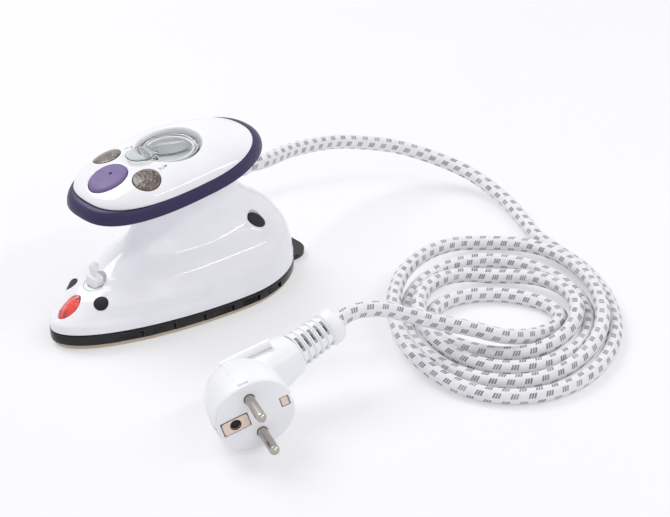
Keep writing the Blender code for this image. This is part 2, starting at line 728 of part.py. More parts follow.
def body_shell(handle):
    """White hull and neck: a lofted shell with screw bosses and openings."""
    outer = hull_rings()
    inner = inner_rings(outer, SHELL_WALL)
    inside = [ring for i, ring in enumerate(inner) if i not in INNER_RINGS_LEFT_OUT]
    shell = loft("body_shell", [*outer, *reversed(inside)], cyclic=True)

    mid = loft("boss_limit", inner_rings(outer, SHELL_WALL / 2))
    bosses = rods("boss_tool", screw_places(), CAP_RADIUS + GAP + BOSS_WALL, SOLE_HEIGHT + GAP,
                  HANDLE_Z, sides=SMALL_SIDES)
    cups = rods("cup_boss_tool", screw_places()[2:], REAR_CAP_RADIUS + GAP + BOSS_WALL,
                REAR_SCREW_SEAT - BOSS_WALL, HANDLE_Z)
    fuse(bosses, cups)
    keep_inside(bosses, mid)
    fuse(shell, bosses)

    top = -(HANDLE_Z - SHELL_BOTTOM - SHELL_HEIGHT)
    handle_bosses = rods(
        "handle_boss_tool", handle_screw_places(), HANDLE_BOSS_RADIUS,
        top - HANDLE_BOSS_LENGTH, top - GAP, handle, SMALL_SIDES,
    )
    keep_inside(handle_bosses, mid)
    fuse(shell, handle_bosses)

    for name, places, seat, radius in (
        ("front", screw_places()[:2], FRONT_SCREW_SEAT, CAP_RADIUS),
        ("rear", screw_places()[2:], REAR_SCREW_SEAT, REAR_CAP_RADIUS),
    ):
        cut(shell, rods(f"{name}_well_cutter", places, radius + GAP, seat,
                        seat + HANDLE_Z / 3))
    cut(shell, rods("shank_cutter", screw_places(), SCREW_SHANK_RADIUS + GAP, 0.0,
                    REAR_SCREW_SEAT + OVERRUN, sides=SMALL_SIDES))
    cut(shell, rods("handle_shank_cutter", handle_screw_places(), SCREW_SHANK_RADIUS + GAP,
                    top - HANDLE_SCREW_LENGTH - GAP, top + OVERRUN, handle, SMALL_SIDES))

    cut(shell, rods("pocket_cutter", [(0.0, FILLER_Y)], POCKET_RADIUS,
                    FILLER_TOP - FILLER_FLANGE - OVERRUN, HANDLE_Z / 2))
    pilot = pilot_frame("pilot_cutter_frame")
    cut(shell, pilot_prism("pilot_cutter", GAP, -PILOT_DEPTH - SHELL_WALL, SHELL_WALL * 2, pilot))
    exit_frame = cord_frame("exit_cutter_frame")
    cut(shell, rods("exit_cutter", [(0.0, 0.0)], GLAND_BORE_RADIUS, -GLAND_SEAT,
                    SHELL_WALL * 2, exit_frame))
    cut(shell, rods("exit_face_cutter", [(0.0, 0.0)], GLAND_ROOT_RADIUS + GAP,
                    SHELL_WALL - GAP, GLAND_LENGTH, exit_frame))
    return paint(shell, WHITE)


def rod_y_at(z):
    """Place of the upright valve rod in the leaning handle, at a height there."""
    return (ROD_Y + z * math.sin(HANDLE_TILT)) / math.cos(HANDLE_TILT)


def handle_screw_places():
    return [(-HANDLE_SCREW_X, HANDLE_SCREW_Y), (HANDLE_SCREW_X, HANDLE_SCREW_Y)]


def pilot_frame(name):
    return frame(name, (0.0, PILOT_Y, PILOT_Z), (PILOT_TILT, 0.0, 0.0))


def pilot_prism(name, margin, bottom, top, parent):
    ring = outline(PILOT_HALF_WIDTH + margin, PILOT_HALF_LENGTH + margin,
                   PILOT_HALF_LENGTH + margin, 0.0, points=ROUND_SIDES)
    return loft(name, [[Vector((p.x, p.y, z)) for p in ring] for z in (bottom, top)], parent)


def pilot_light():
    """Faceted red lens in the nose with its lamp behind."""
    place = pilot_frame("pilot_place")
    sizes = ((0.0, -PILOT_DEPTH), (0.0, PILOT_PROUD / 3), (-PILOT_FACET, PILOT_PROUD))
    rings = []
    for inset, z in sizes:
        ring = outline(PILOT_HALF_WIDTH + inset, PILOT_HALF_LENGTH + inset,
                       PILOT_HALF_LENGTH + inset, 0.0, points=12)
        rings.append([Vector((p.x, p.y, z)) for p in ring])
    paint(loft("pilot_lens", rings, place), RED)
    top = -PILOT_DEPTH - GAP
    lamp = rods("pilot_lamp", [(0.0, 0.0)], PILOT_LAMP_RADIUS, top - PILOT_LAMP_LENGTH, top,
                place, SMALL_SIDES)
    paint(lamp, BRASS)


def filler():
    """Neck of the water filler and its stopper, which pulls straight up."""
    bottom = FILLER_TOP - FILLER_FLANGE
    collar = POCKET_RADIUS - GAP
    neck = turned(
        "filler_neck",
        [(FILLER_TUBE_RADIUS, FILLER_BOTTOM), (FILLER_TUBE_RADIUS, bottom), (collar, bottom),
         (collar, FILLER_TOP), (FILLER_BORE, FILLER_TOP),
         (FILLER_BORE, FILLER_BOTTOM + FILLER_FLANGE / 2), (0.0, FILLER_BOTTOM + FILLER_FLANGE / 2)],
        y=FILLER_Y,
    )
    tank_front = tank_front_at(BRANCH_Z - BRANCH_RADIUS)
    branch = along_y("branch_tool", BRANCH_RADIUS, FILLER_Y + FILLER_BORE + GAP,
                     tank_front - GAP, BRANCH_Z)
    fuse(neck, branch)
    bore = along_y("branch_cutter", BRANCH_RADIUS - DRIP_RADIUS, FILLER_Y,
                   tank_front + OVERRUN, BRANCH_Z)
    cut(neck, bore)
    paint(neck, WHITE)

    lift = frame("filler_plug_axis", (0.0, FILLER_Y, FILLER_TOP))
    plug = turned("filler_plug", [(STOPPER_RADIUS, -STOPPER_DEPTH), (STOPPER_RADIUS, OVERRUN)],
                  lift)
    block_top = GAP + STOPPER_BLOCK_HEIGHT
    rings = []
    for inset, z in ((0.0, GAP), (0.0, block_top - OVERRUN), (OVERRUN, block_top)):
        ring = outline(STOPPER_BLOCK_HALF_WIDTH - inset, STOPPER_BLOCK_HALF_LENGTH - inset,
                       STOPPER_BLOCK_HALF_LENGTH - inset, 0.0, (5, 5), (5, 5), points=SMALL_SIDES)
        rings.append([Vector((p.x, p.y, z)) for p in ring])
    fuse(plug, loft("block_tool", rings, lift))
    centre = KNOB_Z - FILLER_TOP
    profile = [(KNOB_STEM_RADIUS, block_top - OVERRUN), (KNOB_STEM_RADIUS, centre - KNOB_RADIUS)]
    for i in range(1, 9):
        turn = math.pi * i / 8
        if KNOB_RADIUS * math.sin(turn) > KNOB_STEM_RADIUS or i > 4:
            profile.append((KNOB_RADIUS * math.sin(turn) if i < 8 else 0.0,
                            centre - KNOB_RADIUS * math.cos(turn)))
    fuse(plug, turned("knob_tool", profile, lift, SMALL_SIDES))
    paint(plug, WHITE)


def along_y(name, radius, start, end, z, sides=12):
    """A rod along Y on the centre plane."""
    rings = []
    for y in (start, end):
        rings.append([Vector((p.x, y, z + p.y)) for p in circle(radius, 0.0, sides)])
    return loft(name, rings)


def case_screws():
    """Four screws from the hull into the plate, each under a flush cap."""
    names = ("front_left", "front_right", "rear_left", "rear_right")
    seats = (FRONT_SCREW_SEAT, FRONT_SCREW_SEAT, REAR_SCREW_SEAT, REAR_SCREW_SEAT)
    raised = [[p + Vector((0.0, 0.0, CAP_PROUD)) for p in ring] for ring in hull_rings()]
    skin = loft("cap_limit", raised)
    for name, (x, y), seat in zip(names, screw_places(), seats):
        head = seat + GAP
        top = head + SCREW_HEAD_HEIGHT
        screw = turned(
            f"case_screw_{name}",
            [(SCREW_SHANK_RADIUS, SCREW_END), (SCREW_SHANK_RADIUS, head),
             (SCREW_HEAD_RADIUS, head), (SCREW_HEAD_RADIUS, top), (SOCKET_RADIUS, top),
             (SOCKET_RADIUS, top - SOCKET_DEPTH), (0.0, top - SOCKET_DEPTH)],
            sides=SCREW_SIDES, x=x, y=y,
        )
        paint(screw, STEEL)
        radius = CAP_RADIUS if y < 0 else REAR_CAP_RADIUS
        cap = rods(f"screw_plug_{name}", [(x, y)], radius, top + GAP, top + HANDLE_Z / 3)
        keep_inside(cap, skin)
        paint(cap, DARK_PURPLE)


def rim_ring(share, z):
    """Outline of the purple band: 0 at its lower edge, 1 at its upper edge."""
    out = 1 - share
    return outline(
        RIM_HALF_WIDTH + RIM_BULGE * out, RIM_FRONT + RIM_FRONT_SLOPE * out,
        RIM_REAR + RIM_REAR_SLOPE * out, RIM_WIDEST_Y, RIM_FRONT_POWERS, RIM_REAR_POWERS, z,
    )


def swept(rings, shares=None):
    """The rings with their rear lifted, as the handle sweeps up there."""
    lifted = []
    for i, ring in enumerate(rings):
        sweep = RIM_SWEEP * (1 if shares is None else shares[i])
        lifted.append([
            Vector((p.x, p.y, p.z + sweep * (max(p.y, 0.0) / RIM_REAR) ** 2)) for p in ring
        ])
    return lifted


def grip_band(handle):
    rings = []
    for i in range(6):
        turn = math.pi / 2 * i / 5
        rings.append(rim_ring(1 - math.cos(turn), BAND_HEIGHT * math.sin(turn)))
    inner = offset(rings[-1], -BAND_WALL)
    rings.append(inner)
    rings.append([Vector((p.x, p.y, 0.0)) for p in inner])
    paint(loft("grip_band", swept(rings), handle, cyclic=True), PURPLE)


def collar_ring(inset, z):
    return outline(
        COLLAR_HALF_WIDTH - inset, COLLAR_FRONT - inset, COLLAR_REAR - inset, COLLAR_WIDEST_Y,
        z=z,
    )


def lower_shell(handle):
    """Underside of the handle: a dish from the neck collar out to the band, with its lip."""
    edge = offset(rim_ring(0, -GAP), -GAP)
    collar = collar_ring(0.0, COLLAR_Z)
    outer, inner = [], []
    for out, rise in FLOOR_SHARES:
        outer.append([c.lerp(e, 1 - (1 - out) ** 1.6) for c, e in zip(collar, edge)])
        for point in outer[-1]:
            point.z = COLLAR_Z + (edge[0].z - COLLAR_Z) * rise**2.4
    seat = offset(rim_ring(1, -GAP), -BAND_WALL - GAP)
    floor_edge = offset(seat, -LIP_WALL)
    inner_collar = collar_ring(FLOOR_WALL, COLLAR_Z)
    rings = [*outer, seat, [Vector((p.x, p.y, LIP_HEIGHT)) for p in seat],
             [Vector((p.x, p.y, LIP_HEIGHT)) for p in floor_edge]]
    sweeps = [out for out, _ in FLOOR_SHARES] + [1.0] * 3
    for out, rise in reversed(FLOOR_SHARES):
        ring = [c.lerp(e, out) for c, e in zip(inner_collar, floor_edge)]
        for point in ring:
            point.z = COLLAR_Z + FLOOR_WALL + (edge[0].z - COLLAR_Z) * rise**2.4 * out
        rings.append(ring)
        sweeps.append(out)
    rings.append(inner_collar)
    sweeps.append(0.0)
    shell = loft("handle_lower_shell", swept(rings, sweeps), handle, cyclic=True)

    reach = COLLAR_HALF_WIDTH - FLOOR_WALL / 2
    bridge_top = COLLAR_Z + BRIDGE_THICKNESS
    rod_y = rod_y_at(COLLAR_Z + BRIDGE_THICKNESS / 2)
    spans = []
    for y in (rod_y, HANDLE_SCREW_Y):
        spans.append(((-reach, y - BRIDGE_DEPTH / 2, COLLAR_Z),
                      (reach, y + BRIDGE_DEPTH / 2, bridge_top)))
    bridges = boxes("bridge_tool", spans, handle)
    neck = loft("bridge_limit", [collar_ring(FLOOR_WALL / 2, z)
                                 for z in (COLLAR_Z - OVERRUN, bridge_top + OVERRUN)], handle)
    keep_inside(bridges, neck)
    fuse(shell, bridges)
    rod_gap = ROD_RADIUS + GAP + RUNNING_GAP
    cut(shell, rods("rod_cutter", [(0.0, rod_y)], rod_gap, COLLAR_Z - OVERRUN,
                    bridge_top + OVERRUN, handle, SMALL_SIDES))
    cut(shell, rods("bridge_screw_cutter", handle_screw_places(), SCREW_SHANK_RADIUS + GAP,
                    COLLAR_Z - OVERRUN, bridge_top + OVERRUN, handle, SMALL_SIDES))

    ear_low = COLLAR_Z + FLOOR_WALL / 2
    ear_high = LEVER_PIVOT_Z + HUB_RADIUS
    ear_front = LEVER_PIVOT_Y + HUB_RADIUS - EAR_LENGTH
    spans = []
    for side in (-1, 1):
        near = LEVER_HALF_WIDTH + GAP
        xs = sorted((side * near, side * (near + EAR_THICKNESS)))
        spans.append(((xs[0], ear_front, ear_low), (xs[1], LEVER_PIVOT_Y + HUB_RADIUS, ear_high)))
    fuse(shell, boxes("ear_tool", spans, handle))
    cut(shell, cross_rod("ear_cutter", PIN_RADIUS + GAP, PIN_HALF_LENGTH + OVERRUN,
                         LEVER_PIVOT_Y, LEVER_PIVOT_Z, handle))
    posts = rods("post_tool", [(-POST_X, POST_Y), (POST_X, POST_Y)], POST_RADIUS,
                 COLLAR_Z / 2, BOARD_BOTTOM - GAP, handle, SMALL_SIDES)
    fuse(shell, posts)
    return paint(shell, WHITE)


def crown_rings(lift=0.0, inset=0.0):
    """Rings of the domed crown, from its rim up to the top."""
    base = offset(rim_ring(1, 0.0), -inset)
    centre = Vector((0.0, CROWN_CENTRE_Y, 0.0))
    rings = []
    for share in CROWN_RING_SHARES:
        ring = [centre + (p - centre) * share for p in base]
        rise = CROWN_HEIGHT * math.sqrt(max(1 - share**2, 0))
        rings.append([Vector((p.x, p.y, BAND_HEIGHT + GAP + lift + rise)) for p in ring])
    return swept(rings)


def upper_shell(handle):
    """Crown of the handle with the dial recess, the button hole and two lens seats."""
    outer = crown_rings()
    inner = crown_rings(-CROWN_WALL, CROWN_WALL)
    seat = offset(rim_ring(1, BAND_HEIGHT + GAP), -BAND_WALL - GAP)
    lip_end = BAND_HEIGHT - LIP_HEIGHT
    lip = [seat, [Vector((p.x, p.y, lip_end)) for p in seat],
           [Vector((p.x, p.y, lip_end)) for p in offset(seat, -LIP_WALL)],
           offset(seat, -LIP_WALL)]
    shell = loft("handle_upper_shell", [*reversed(outer), *swept(lip), *inner[2::2]], handle)

    crown = loft("crown_limit", crown_rings(), handle)
    cup_bottom = DISC_BOTTOM - GAP - RECESS_FLOOR
    cup = rods("cup_tool", [(0.0, DIAL_Y)], RECESS_RADIUS + RECESS_WALL, cup_bottom,
               BAND_HEIGHT + CROWN_HEIGHT + RIM_SWEEP, handle, 32)
    keep_inside(cup, crown)
    fuse(shell, cup)
    top = BAND_HEIGHT + CROWN_HEIGHT + RIM_SWEEP + OVERRUN
    recess = turned("recess_cutter", [(RECESS_RADIUS, DISC_BOTTOM - GAP),
                                      (RECESS_RADIUS + RECESS_FLARE, top)],
                    handle, 32, y=DIAL_Y)
    cut(shell, recess)
    cut(shell, rods("spindle_cutter", [(0.0, DIAL_Y)], SPINDLE_RADIUS + GAP,
                    cup_bottom - OVERRUN, DISC_BOTTOM, handle, SMALL_SIDES))
    cut(shell, button_prism("button_cutter", GAP, BAND_HEIGHT + GAP, top, handle))
    cut(shell, rods("lens_cutter", [(-LENS_X, LENS_Y), (LENS_X, LENS_Y)], LENS_RADIUS,
                    LENS_BOTTOM - CROWN_WALL, top, handle))
    return paint(shell, WHITE)


def button_prism(name, margin, bottom, top, parent):
    ring = outline(BUTTON_HALF_WIDTH + margin, BUTTON_HALF_LENGTH + margin - BUTTON_Y,
                   BUTTON_HALF_LENGTH + margin + BUTTON_Y, BUTTON_Y, points=SMOOTH_SIDES)
    return loft(name, [[Vector((p.x, p.y, z)) for p in ring] for z in (bottom, top)], parent)


def steam_button(handle):
    """Oval thumb button whose top follows the crown, with a stem down to the lever."""
    top = BAND_HEIGHT + CROWN_HEIGHT + RIM_SWEEP + OVERRUN
    button = button_prism("steam_button", 0.0, BUTTON_BOTTOM, top, handle)
    skin = crown_rings(BUTTON_PROUD)
    foot = [Vector((p.x, p.y, 0.0)) for p in skin[0]]
    keep_inside(button, loft("button_limit", [foot, *skin], handle))
    cut(button, rods("dot_cutter", [(0.0, BUTTON_DOT_Y)], BUTTON_DOT_RADIUS,
                     crown_height_at(BUTTON_DOT_Y) + BUTTON_PROUD - BUTTON_DOT_DEPTH, top,
                     handle, SMALL_SIDES))
    lever_top = LEVER_PIVOT_Z + LEVER_THICKNESS / 2
    fuse(button, rods("stem_tool", [(0.0, BUTTON_Y)], STEM_RADIUS, lever_top + GAP,
                      BUTTON_BOTTOM + OVERRUN, handle, SMALL_SIDES))
    return paint(button, LILAC)


def crown_height_at(y):
    """Height of the crown on the centre line in front of its top."""
    share = (CROWN_CENTRE_Y - y) / (RIM_FRONT + CROWN_CENTRE_Y)
    return BAND_HEIGHT + GAP + CROWN_HEIGHT * math.sqrt(1 - share**2)


def indicators(handle):
    """Two smoked lenses flush with the crown, their lamps and board."""
    skin = crown_rings(LENS_PROUD)
    limit = loft("lens_limit", [[Vector((p.x, p.y, 0.0)) for p in skin[0]], *skin], handle)
    board_top = BOARD_BOTTOM + BOARD_THICKNESS
    top = BAND_HEIGHT + CROWN_HEIGHT + RIM_SWEEP + OVERRUN
    for name, side in (("left", -1), ("right", 1)):
        lens = rods(f"indicator_lens_{name}", [(side * LENS_X, LENS_Y)], LENS_RADIUS - GAP,
                    LENS_BOTTOM, top, handle)
        keep_inside(lens, limit)
        paint(lens, BRONZE)
        lamp = rods(f"indicator_lamp_{name}", [(side * LENS_X, LAMP_Y)], LAMP_RADIUS,
                    board_top + GAP, LENS_BOTTOM - GAP, handle, SMALL_SIDES)
        paint(lamp, CLEAR)
    board = boxes("indicator_board", [((-BOARD_HALF_WIDTH, BOARD_FRONT_Y, BOARD_BOTTOM),
                                       (BOARD_HALF_WIDTH, BOARD_REAR_Y, board_top))], handle)
    paint(board, GREEN)


def dial(handle):
    """Clear disc with a leaf grip and a pointer lobe, on a spindle down to the thermostat."""
    axis = frame("dial_axis", (0.0, DIAL_Y, 0.0), parent=handle)
    top = DISC_BOTTOM + DISC_THICKNESS
    disc = rods("dial", [(0.0, 0.0)], DISC_RADIUS, DISC_BOTTOM, top, axis, 32)
    rings = []
    for rise, length, width in LEAF_SHARES:
        ring = []
        for i in range(20):
            turn = math.tau * i / 20
            across = LEAF_HALF_WIDTH * width * power(math.sin(turn), 1.4)
            along = LEAF_HALF_LENGTH * length * math.cos(turn)
            point = Vector((across, along, top - OVERRUN / 2 + LEAF_HEIGHT * rise))
            ring.append(Matrix.Rotation(LEAF_TURN, 3, "Z") @ point)
        rings.append(ring)
    fuse(disc, loft("leaf_tool", rings, axis))
    lobe_top = LOBE_BOTTOM + LOBE_THICKNESS
    fuse(disc, boxes("arm_tool", [((-ARM_HALF_WIDTH, -ARM_OUTER, top - OVERRUN),
                                   (ARM_HALF_WIDTH, -ARM_INNER, lobe_top))], axis))
    fuse(disc, rods("lobe_tool", [(0.0, -LOBE_OFFSET)], LOBE_RADIUS, LOBE_BOTTOM,
                    lobe_top, axis))
    paint(disc, CLEAR)
    spindle_top = DISC_BOTTOM - GAP
    spindle = rods("dial_spindle", [(0.0, 0.0)], SPINDLE_RADIUS, spindle_top - SPINDLE_LENGTH,
                   spindle_top, axis, SMALL_SIDES)
    paint(spindle, STEEL)


def steam_valve(handle):
    """Lever on its pin and the spring-loaded rod that it lifts."""
    pivot = frame("steam_lever_axis", (0.0, LEVER_PIVOT_Y, LEVER_PIVOT_Z), parent=handle)
    half = LEVER_THICKNESS / 2
    lever = cross_rod("steam_lever", HUB_RADIUS, LEVER_HALF_WIDTH, 0.0, 0.0, pivot)
    arms = boxes("lever_arm_tool", [((-LEVER_HALF_WIDTH, LEVER_FRONT_Y - LEVER_PIVOT_Y, -half),
                                     (LEVER_HALF_WIDTH, LEVER_REAR_Y - LEVER_PIVOT_Y, half))],
                 pivot)
    fuse(lever, arms)
    slot = ROD_RADIUS + GAP * 2
    rod_y = rod_y_at(LEVER_PIVOT_Z) - LEVER_PIVOT_Y
    cut(lever, boxes("fork_cutter", [((-slot, rod_y - slot * 2, -HUB_RADIUS),
                                      (slot, rod_y + slot * 4, HUB_RADIUS))], pivot))
    cut(lever, cross_rod("hub_cutter", PIN_RADIUS + RUNNING_GAP, LEVER_HALF_WIDTH + OVERRUN,
                         0.0, 0.0, pivot))
    paint(lever, BLACK)
    pin = cross_rod("lever_pin", PIN_RADIUS, PIN_HALF_LENGTH, LEVER_PIVOT_Y, LEVER_PIVOT_Z, handle)
    paint(pin, STEEL)

    collar_top = ROD_COLLAR_BOTTOM + ROD_COLLAR_THICKNESS
    shoulder_top = SHOULDER_BOTTOM + SHOULDER_THICKNESS
    axis = frame("valve_rod_axis", (0.0, ROD_Y, 0.0))
    rod = turned(
        "valve_rod",
        [(ROD_RADIUS, ROD_BOTTOM), (ROD_RADIUS, SHOULDER_BOTTOM), (SHOULDER_RADIUS, SHOULDER_BOTTOM),
         (SHOULDER_RADIUS, shoulder_top), (ROD_RADIUS, shoulder_top),
         (ROD_RADIUS, ROD_COLLAR_BOTTOM), (ROD_COLLAR_RADIUS, ROD_COLLAR_BOTTOM),
         (ROD_COLLAR_RADIUS, collar_top)],
        axis, SMALL_SIDES,
    )
    paint(rod, BRASS)

    low = shoulder_top + GAP + SPRING_WIRE_RADIUS
    high = SPRING_TOP - SPRING_WIRE_RADIUS
    steps = SPRING_TURNS * SPRING_TURN_POINTS
    coil = []
    for i in range(steps + 1):
        turn = math.tau * i / SPRING_TURN_POINTS
        coil.append((SPRING_RADIUS * math.cos(turn), ROD_Y + SPRING_RADIUS * math.sin(turn),
                     low + (high - low) * i / steps))
    paint(tube("valve_spring", coil, SPRING_WIRE_RADIUS, 0), STEEL)


def tank_front_at(z):
    share = (z - TANK_BOTTOM) / (TANK_TOP - TANK_BOTTOM)
    return TANK_FRONT_Y + (TANK_TOP_FRONT_Y - TANK_FRONT_Y) * share


def water_tank():
    rings = []
    for half_width, front, z in ((TANK_HALF_WIDTH, TANK_FRONT_Y, TANK_BOTTOM),
                                 (TANK_TOP_HALF_WIDTH, TANK_TOP_FRONT_Y, TANK_TOP)):
        rings.append(outline(half_width, -front, TANK_REAR_Y, TANK_WIDEST_Y, (2, 2), (4, 4), z,
                             points=SMOOTH_SIDES))
    tank = loft("water_tank", rings)
    cut(tank, rods("tank_cutter", [(0.0, ROD_Y)], TANK_BORE, TANK_BOTTOM - OVERRUN,
                   TANK_TOP + OVERRUN, sides=SMALL_SIDES))
    return paint(tank, CLEAR)


def steam_chamber():
    """Cover of the chamber in the plate and the drip valve's seat on it."""
    low = SOLE_HEIGHT + GAP
    rim = outline(
        CHAMBER_HALF_WIDTH + COVER_MARGIN, CHAMBER_HALF_LENGTH + COVER_MARGIN - CHAMBER_Y,
        CHAMBER_HALF_LENGTH + COVER_MARGIN + CHAMBER_Y, CHAMBER_Y, points=SMOOTH_SIDES,
    )
    top = low + COVER_THICKNESS
    cover = loft("steam_chamber_cover", [[Vector((p.x, p.y, z)) for p in rim] for z in (low, top)])
    cut(cover, rods("drip_cutter", [(0.0, ROD_Y)], DRIP_RADIUS * 1.5, low - OVERRUN,
                    top + OVERRUN, sides=SMALL_SIDES))
    paint(cover, STEEL)
    base = top + GAP
    seat_top = base + VALVE_SEAT_HEIGHT
    bore = ROD_RADIUS + GAP
    seat = turned(
        "drip_valve_seat",
        [(VALVE_SEAT_RADIUS, base), (VALVE_SEAT_RADIUS, seat_top), (bore, seat_top),
         (bore, base + VALVE_SEAT_FLOOR), (DRIP_RADIUS, base + VALVE_SEAT_FLOOR),
         (DRIP_RADIUS, base)],
        y=ROD_Y, sides=SMALL_SIDES, cyclic=True,
    )
    paint(seat, BRASS)


def heating_element():
    """Sheathed loop on the plate, its two ends turned up at the heel."""
    z = SOLE_HEIGHT + GAP + ELEMENT_RADIUS
    right = [
        (ELEMENT_TAIL_X, ELEMENT_END_Y, z + ELEMENT_RISE),
        (ELEMENT_TAIL_X, ELEMENT_END_Y - ELEMENT_RADIUS, z + ELEMENT_RISE / 2),
        (ELEMENT_TAIL_X, ELEMENT_END_Y - ELEMENT_RADIUS * 3, z),
        (ELEMENT_TAIL_X, ELEMENT_REAR_Y, z),
    ]
    loop = []
    for i in range(1, 12):
        turn = math.pi * i / 12
        x = ELEMENT_HALF_WIDTH * power(math.cos(turn), 0.7)
        y = (ELEMENT_FRONT_Y) * power(math.sin(turn), 1.0)
        loop.append((x, y, z))
    route = [*right, (ELEMENT_HALF_WIDTH - ELEMENT_RADIUS, -ELEMENT_FRONT_Y / 3, z), *loop]
    route.append((-(ELEMENT_HALF_WIDTH - ELEMENT_RADIUS), -ELEMENT_FRONT_Y / 3, z))
    route.extend((-x, y, height) for x, y, height in reversed(right))
    points = smooth_route([Vector(p) for p in route], ELEMENT_RADIUS * 2)
    paint(tube("heating_element", points, ELEMENT_RADIUS, 1), STEEL)


def heat_controls():
    """Thermostat under the spindle, thermal fuse and terminal block."""
    low = SOLE_HEIGHT + GAP
    top = low + THERMOSTAT_HEIGHT
    body = boxes("thermostat", [((-THERMOSTAT_HALF_WIDTH, THERMOSTAT_FRONT_Y, low),
                                 (THERMOSTAT_HALF_WIDTH, THERMOSTAT_REAR_Y, top))])
    spindle = spindle_end()
    bush = rods("bush_tool", [(0.0, spindle.y)], BUSH_RADIUS, low + OVERRUN,
                spindle.z - GAP - SPINDLE_RADIUS * math.sin(HANDLE_TILT), sides=SMALL_SIDES)
    fuse(body, bush)
    paint(body, MICA)
    z = low + FUSE_RADIUS
    paint(along_y("thermal_fuse", FUSE_RADIUS, FUSE_FRONT_Y, FUSE_FRONT_Y + FUSE_LENGTH, z), NICKEL)
    floor = low + ELEMENT_RADIUS * 2 + GAP
    block = boxes("terminal_block", [((-BLOCK_HALF_WIDTH, BLOCK_FRONT_Y, floor),
                                      (BLOCK_HALF_WIDTH, BLOCK_REAR_Y, floor + BLOCK_HEIGHT))])
    slots = []
    for side in (-1, 1):
        x = side * BLOCK_HALF_WIDTH / 2
        slots.append(((x - BLOCK_SLOT / 2, BLOCK_FRONT_Y - OVERRUN, floor + BLOCK_HEIGHT / 2),
                      (x + BLOCK_SLOT / 2, BLOCK_REAR_Y + OVERRUN, floor + BLOCK_HEIGHT + OVERRUN)))
    cut(block, boxes("slot_cutter", slots))
    paint(block, WHITE)


def spindle_end():
    """Lower end of the dial spindle in the world."""
    depth = DISC_BOTTOM - GAP - SPINDLE_LENGTH
    turn = Matrix.Rotation(HANDLE_TILT, 3, "X")
    return Vector((0.0, 0.0, HANDLE_Z)) + turn @ Vector((0.0, DIAL_Y, depth))


def handle_screws(handle):
    head = COLLAR_Z + BRIDGE_THICKNESS + GAP
    top = head + SCREW_HEAD_HEIGHT
    for name, (x, y) in zip(("left", "right"), handle_screw_places()):
        screw = turned(
            f"handle_screw_{name}",
            [(SCREW_SHANK_RADIUS, head - HANDLE_SCREW_LENGTH), (SCREW_SHANK_RADIUS, head),
             (SCREW_HEAD_RADIUS, head), (SCREW_HEAD_RADIUS, top), (SOCKET_RADIUS, top),
             (SOCKET_RADIUS, top - SOCKET_DEPTH), (0.0, top - SOCKET_DEPTH)],
            handle, SCREW_SIDES, x, y,
        )
        paint(screw, STEEL)


def cord_frame(name):
    """Frame of the cord's exit: its Z points out of the neck and a little down."""
    return frame(name, (0.0, CORD_EXIT_Y, CORD_EXIT_Z), (-(math.pi / 2 + CORD_PITCH), 0.0, 0.0))


def cord_exit(distance):
    """A point on the exit's axis in the world."""
    out = Vector((0.0, math.cos(CORD_PITCH), -math.sin(CORD_PITCH)))
    return Vector((0.0, CORD_EXIT_Y, CORD_EXIT_Z)) + out * distance


def cord_entry():
    """Ribbed gland through the neck, and the clamp that holds the cord inside."""
    place = cord_frame("gland_place")
    waist = GLAND_BORE_RADIUS - GAP
    inside = -GLAND_SEAT
    flange = inside - GLAND_FLANGE
    profile = [(CORD_RADIUS, flange - GLAND_INSIDE), (CORD_RADIUS, flange),
               (GLAND_FLANGE_RADIUS, flange), (GLAND_FLANGE_RADIUS, inside), (waist, inside)]
    outside = SHELL_WALL
    profile.append((waist, outside))
    step = (GLAND_LENGTH - outside) / GLAND_RIBS
    for i in range(GLAND_RIBS):
        taper = i / GLAND_RIBS
        radius = GLAND_ROOT_RADIUS + (GLAND_TIP_RADIUS - GLAND_ROOT_RADIUS) * taper
        start = outside + step * i
        profile.extend([(radius, start), (radius, start + step * 0.6),
                        (radius * GLAND_RIB_SHARE, start + step * 0.7),
                        (radius * GLAND_RIB_SHARE, start + step)])
    paint(turned("cord_gland", profile, place, SMALL_SIDES), WHITE)
    middle = flange - GLAND_INSIDE / 2
    clamp = boxes("cord_clamp", [((-CLAMP_HALF_WIDTH, -CLAMP_HALF_HEIGHT, middle - CLAMP_LENGTH / 2),
                                  (CLAMP_HALF_WIDTH, CLAMP_HALF_HEIGHT, middle + CLAMP_LENGTH / 2))],
                  place)
    cut(clamp, rods("clamp_cutter", [(0.0, 0.0)], CORD_RADIUS + GAP, middle - CLAMP_LENGTH,
                    middle + CLAMP_LENGTH, place, SMALL_SIDES))
    paint(clamp, BLACK)


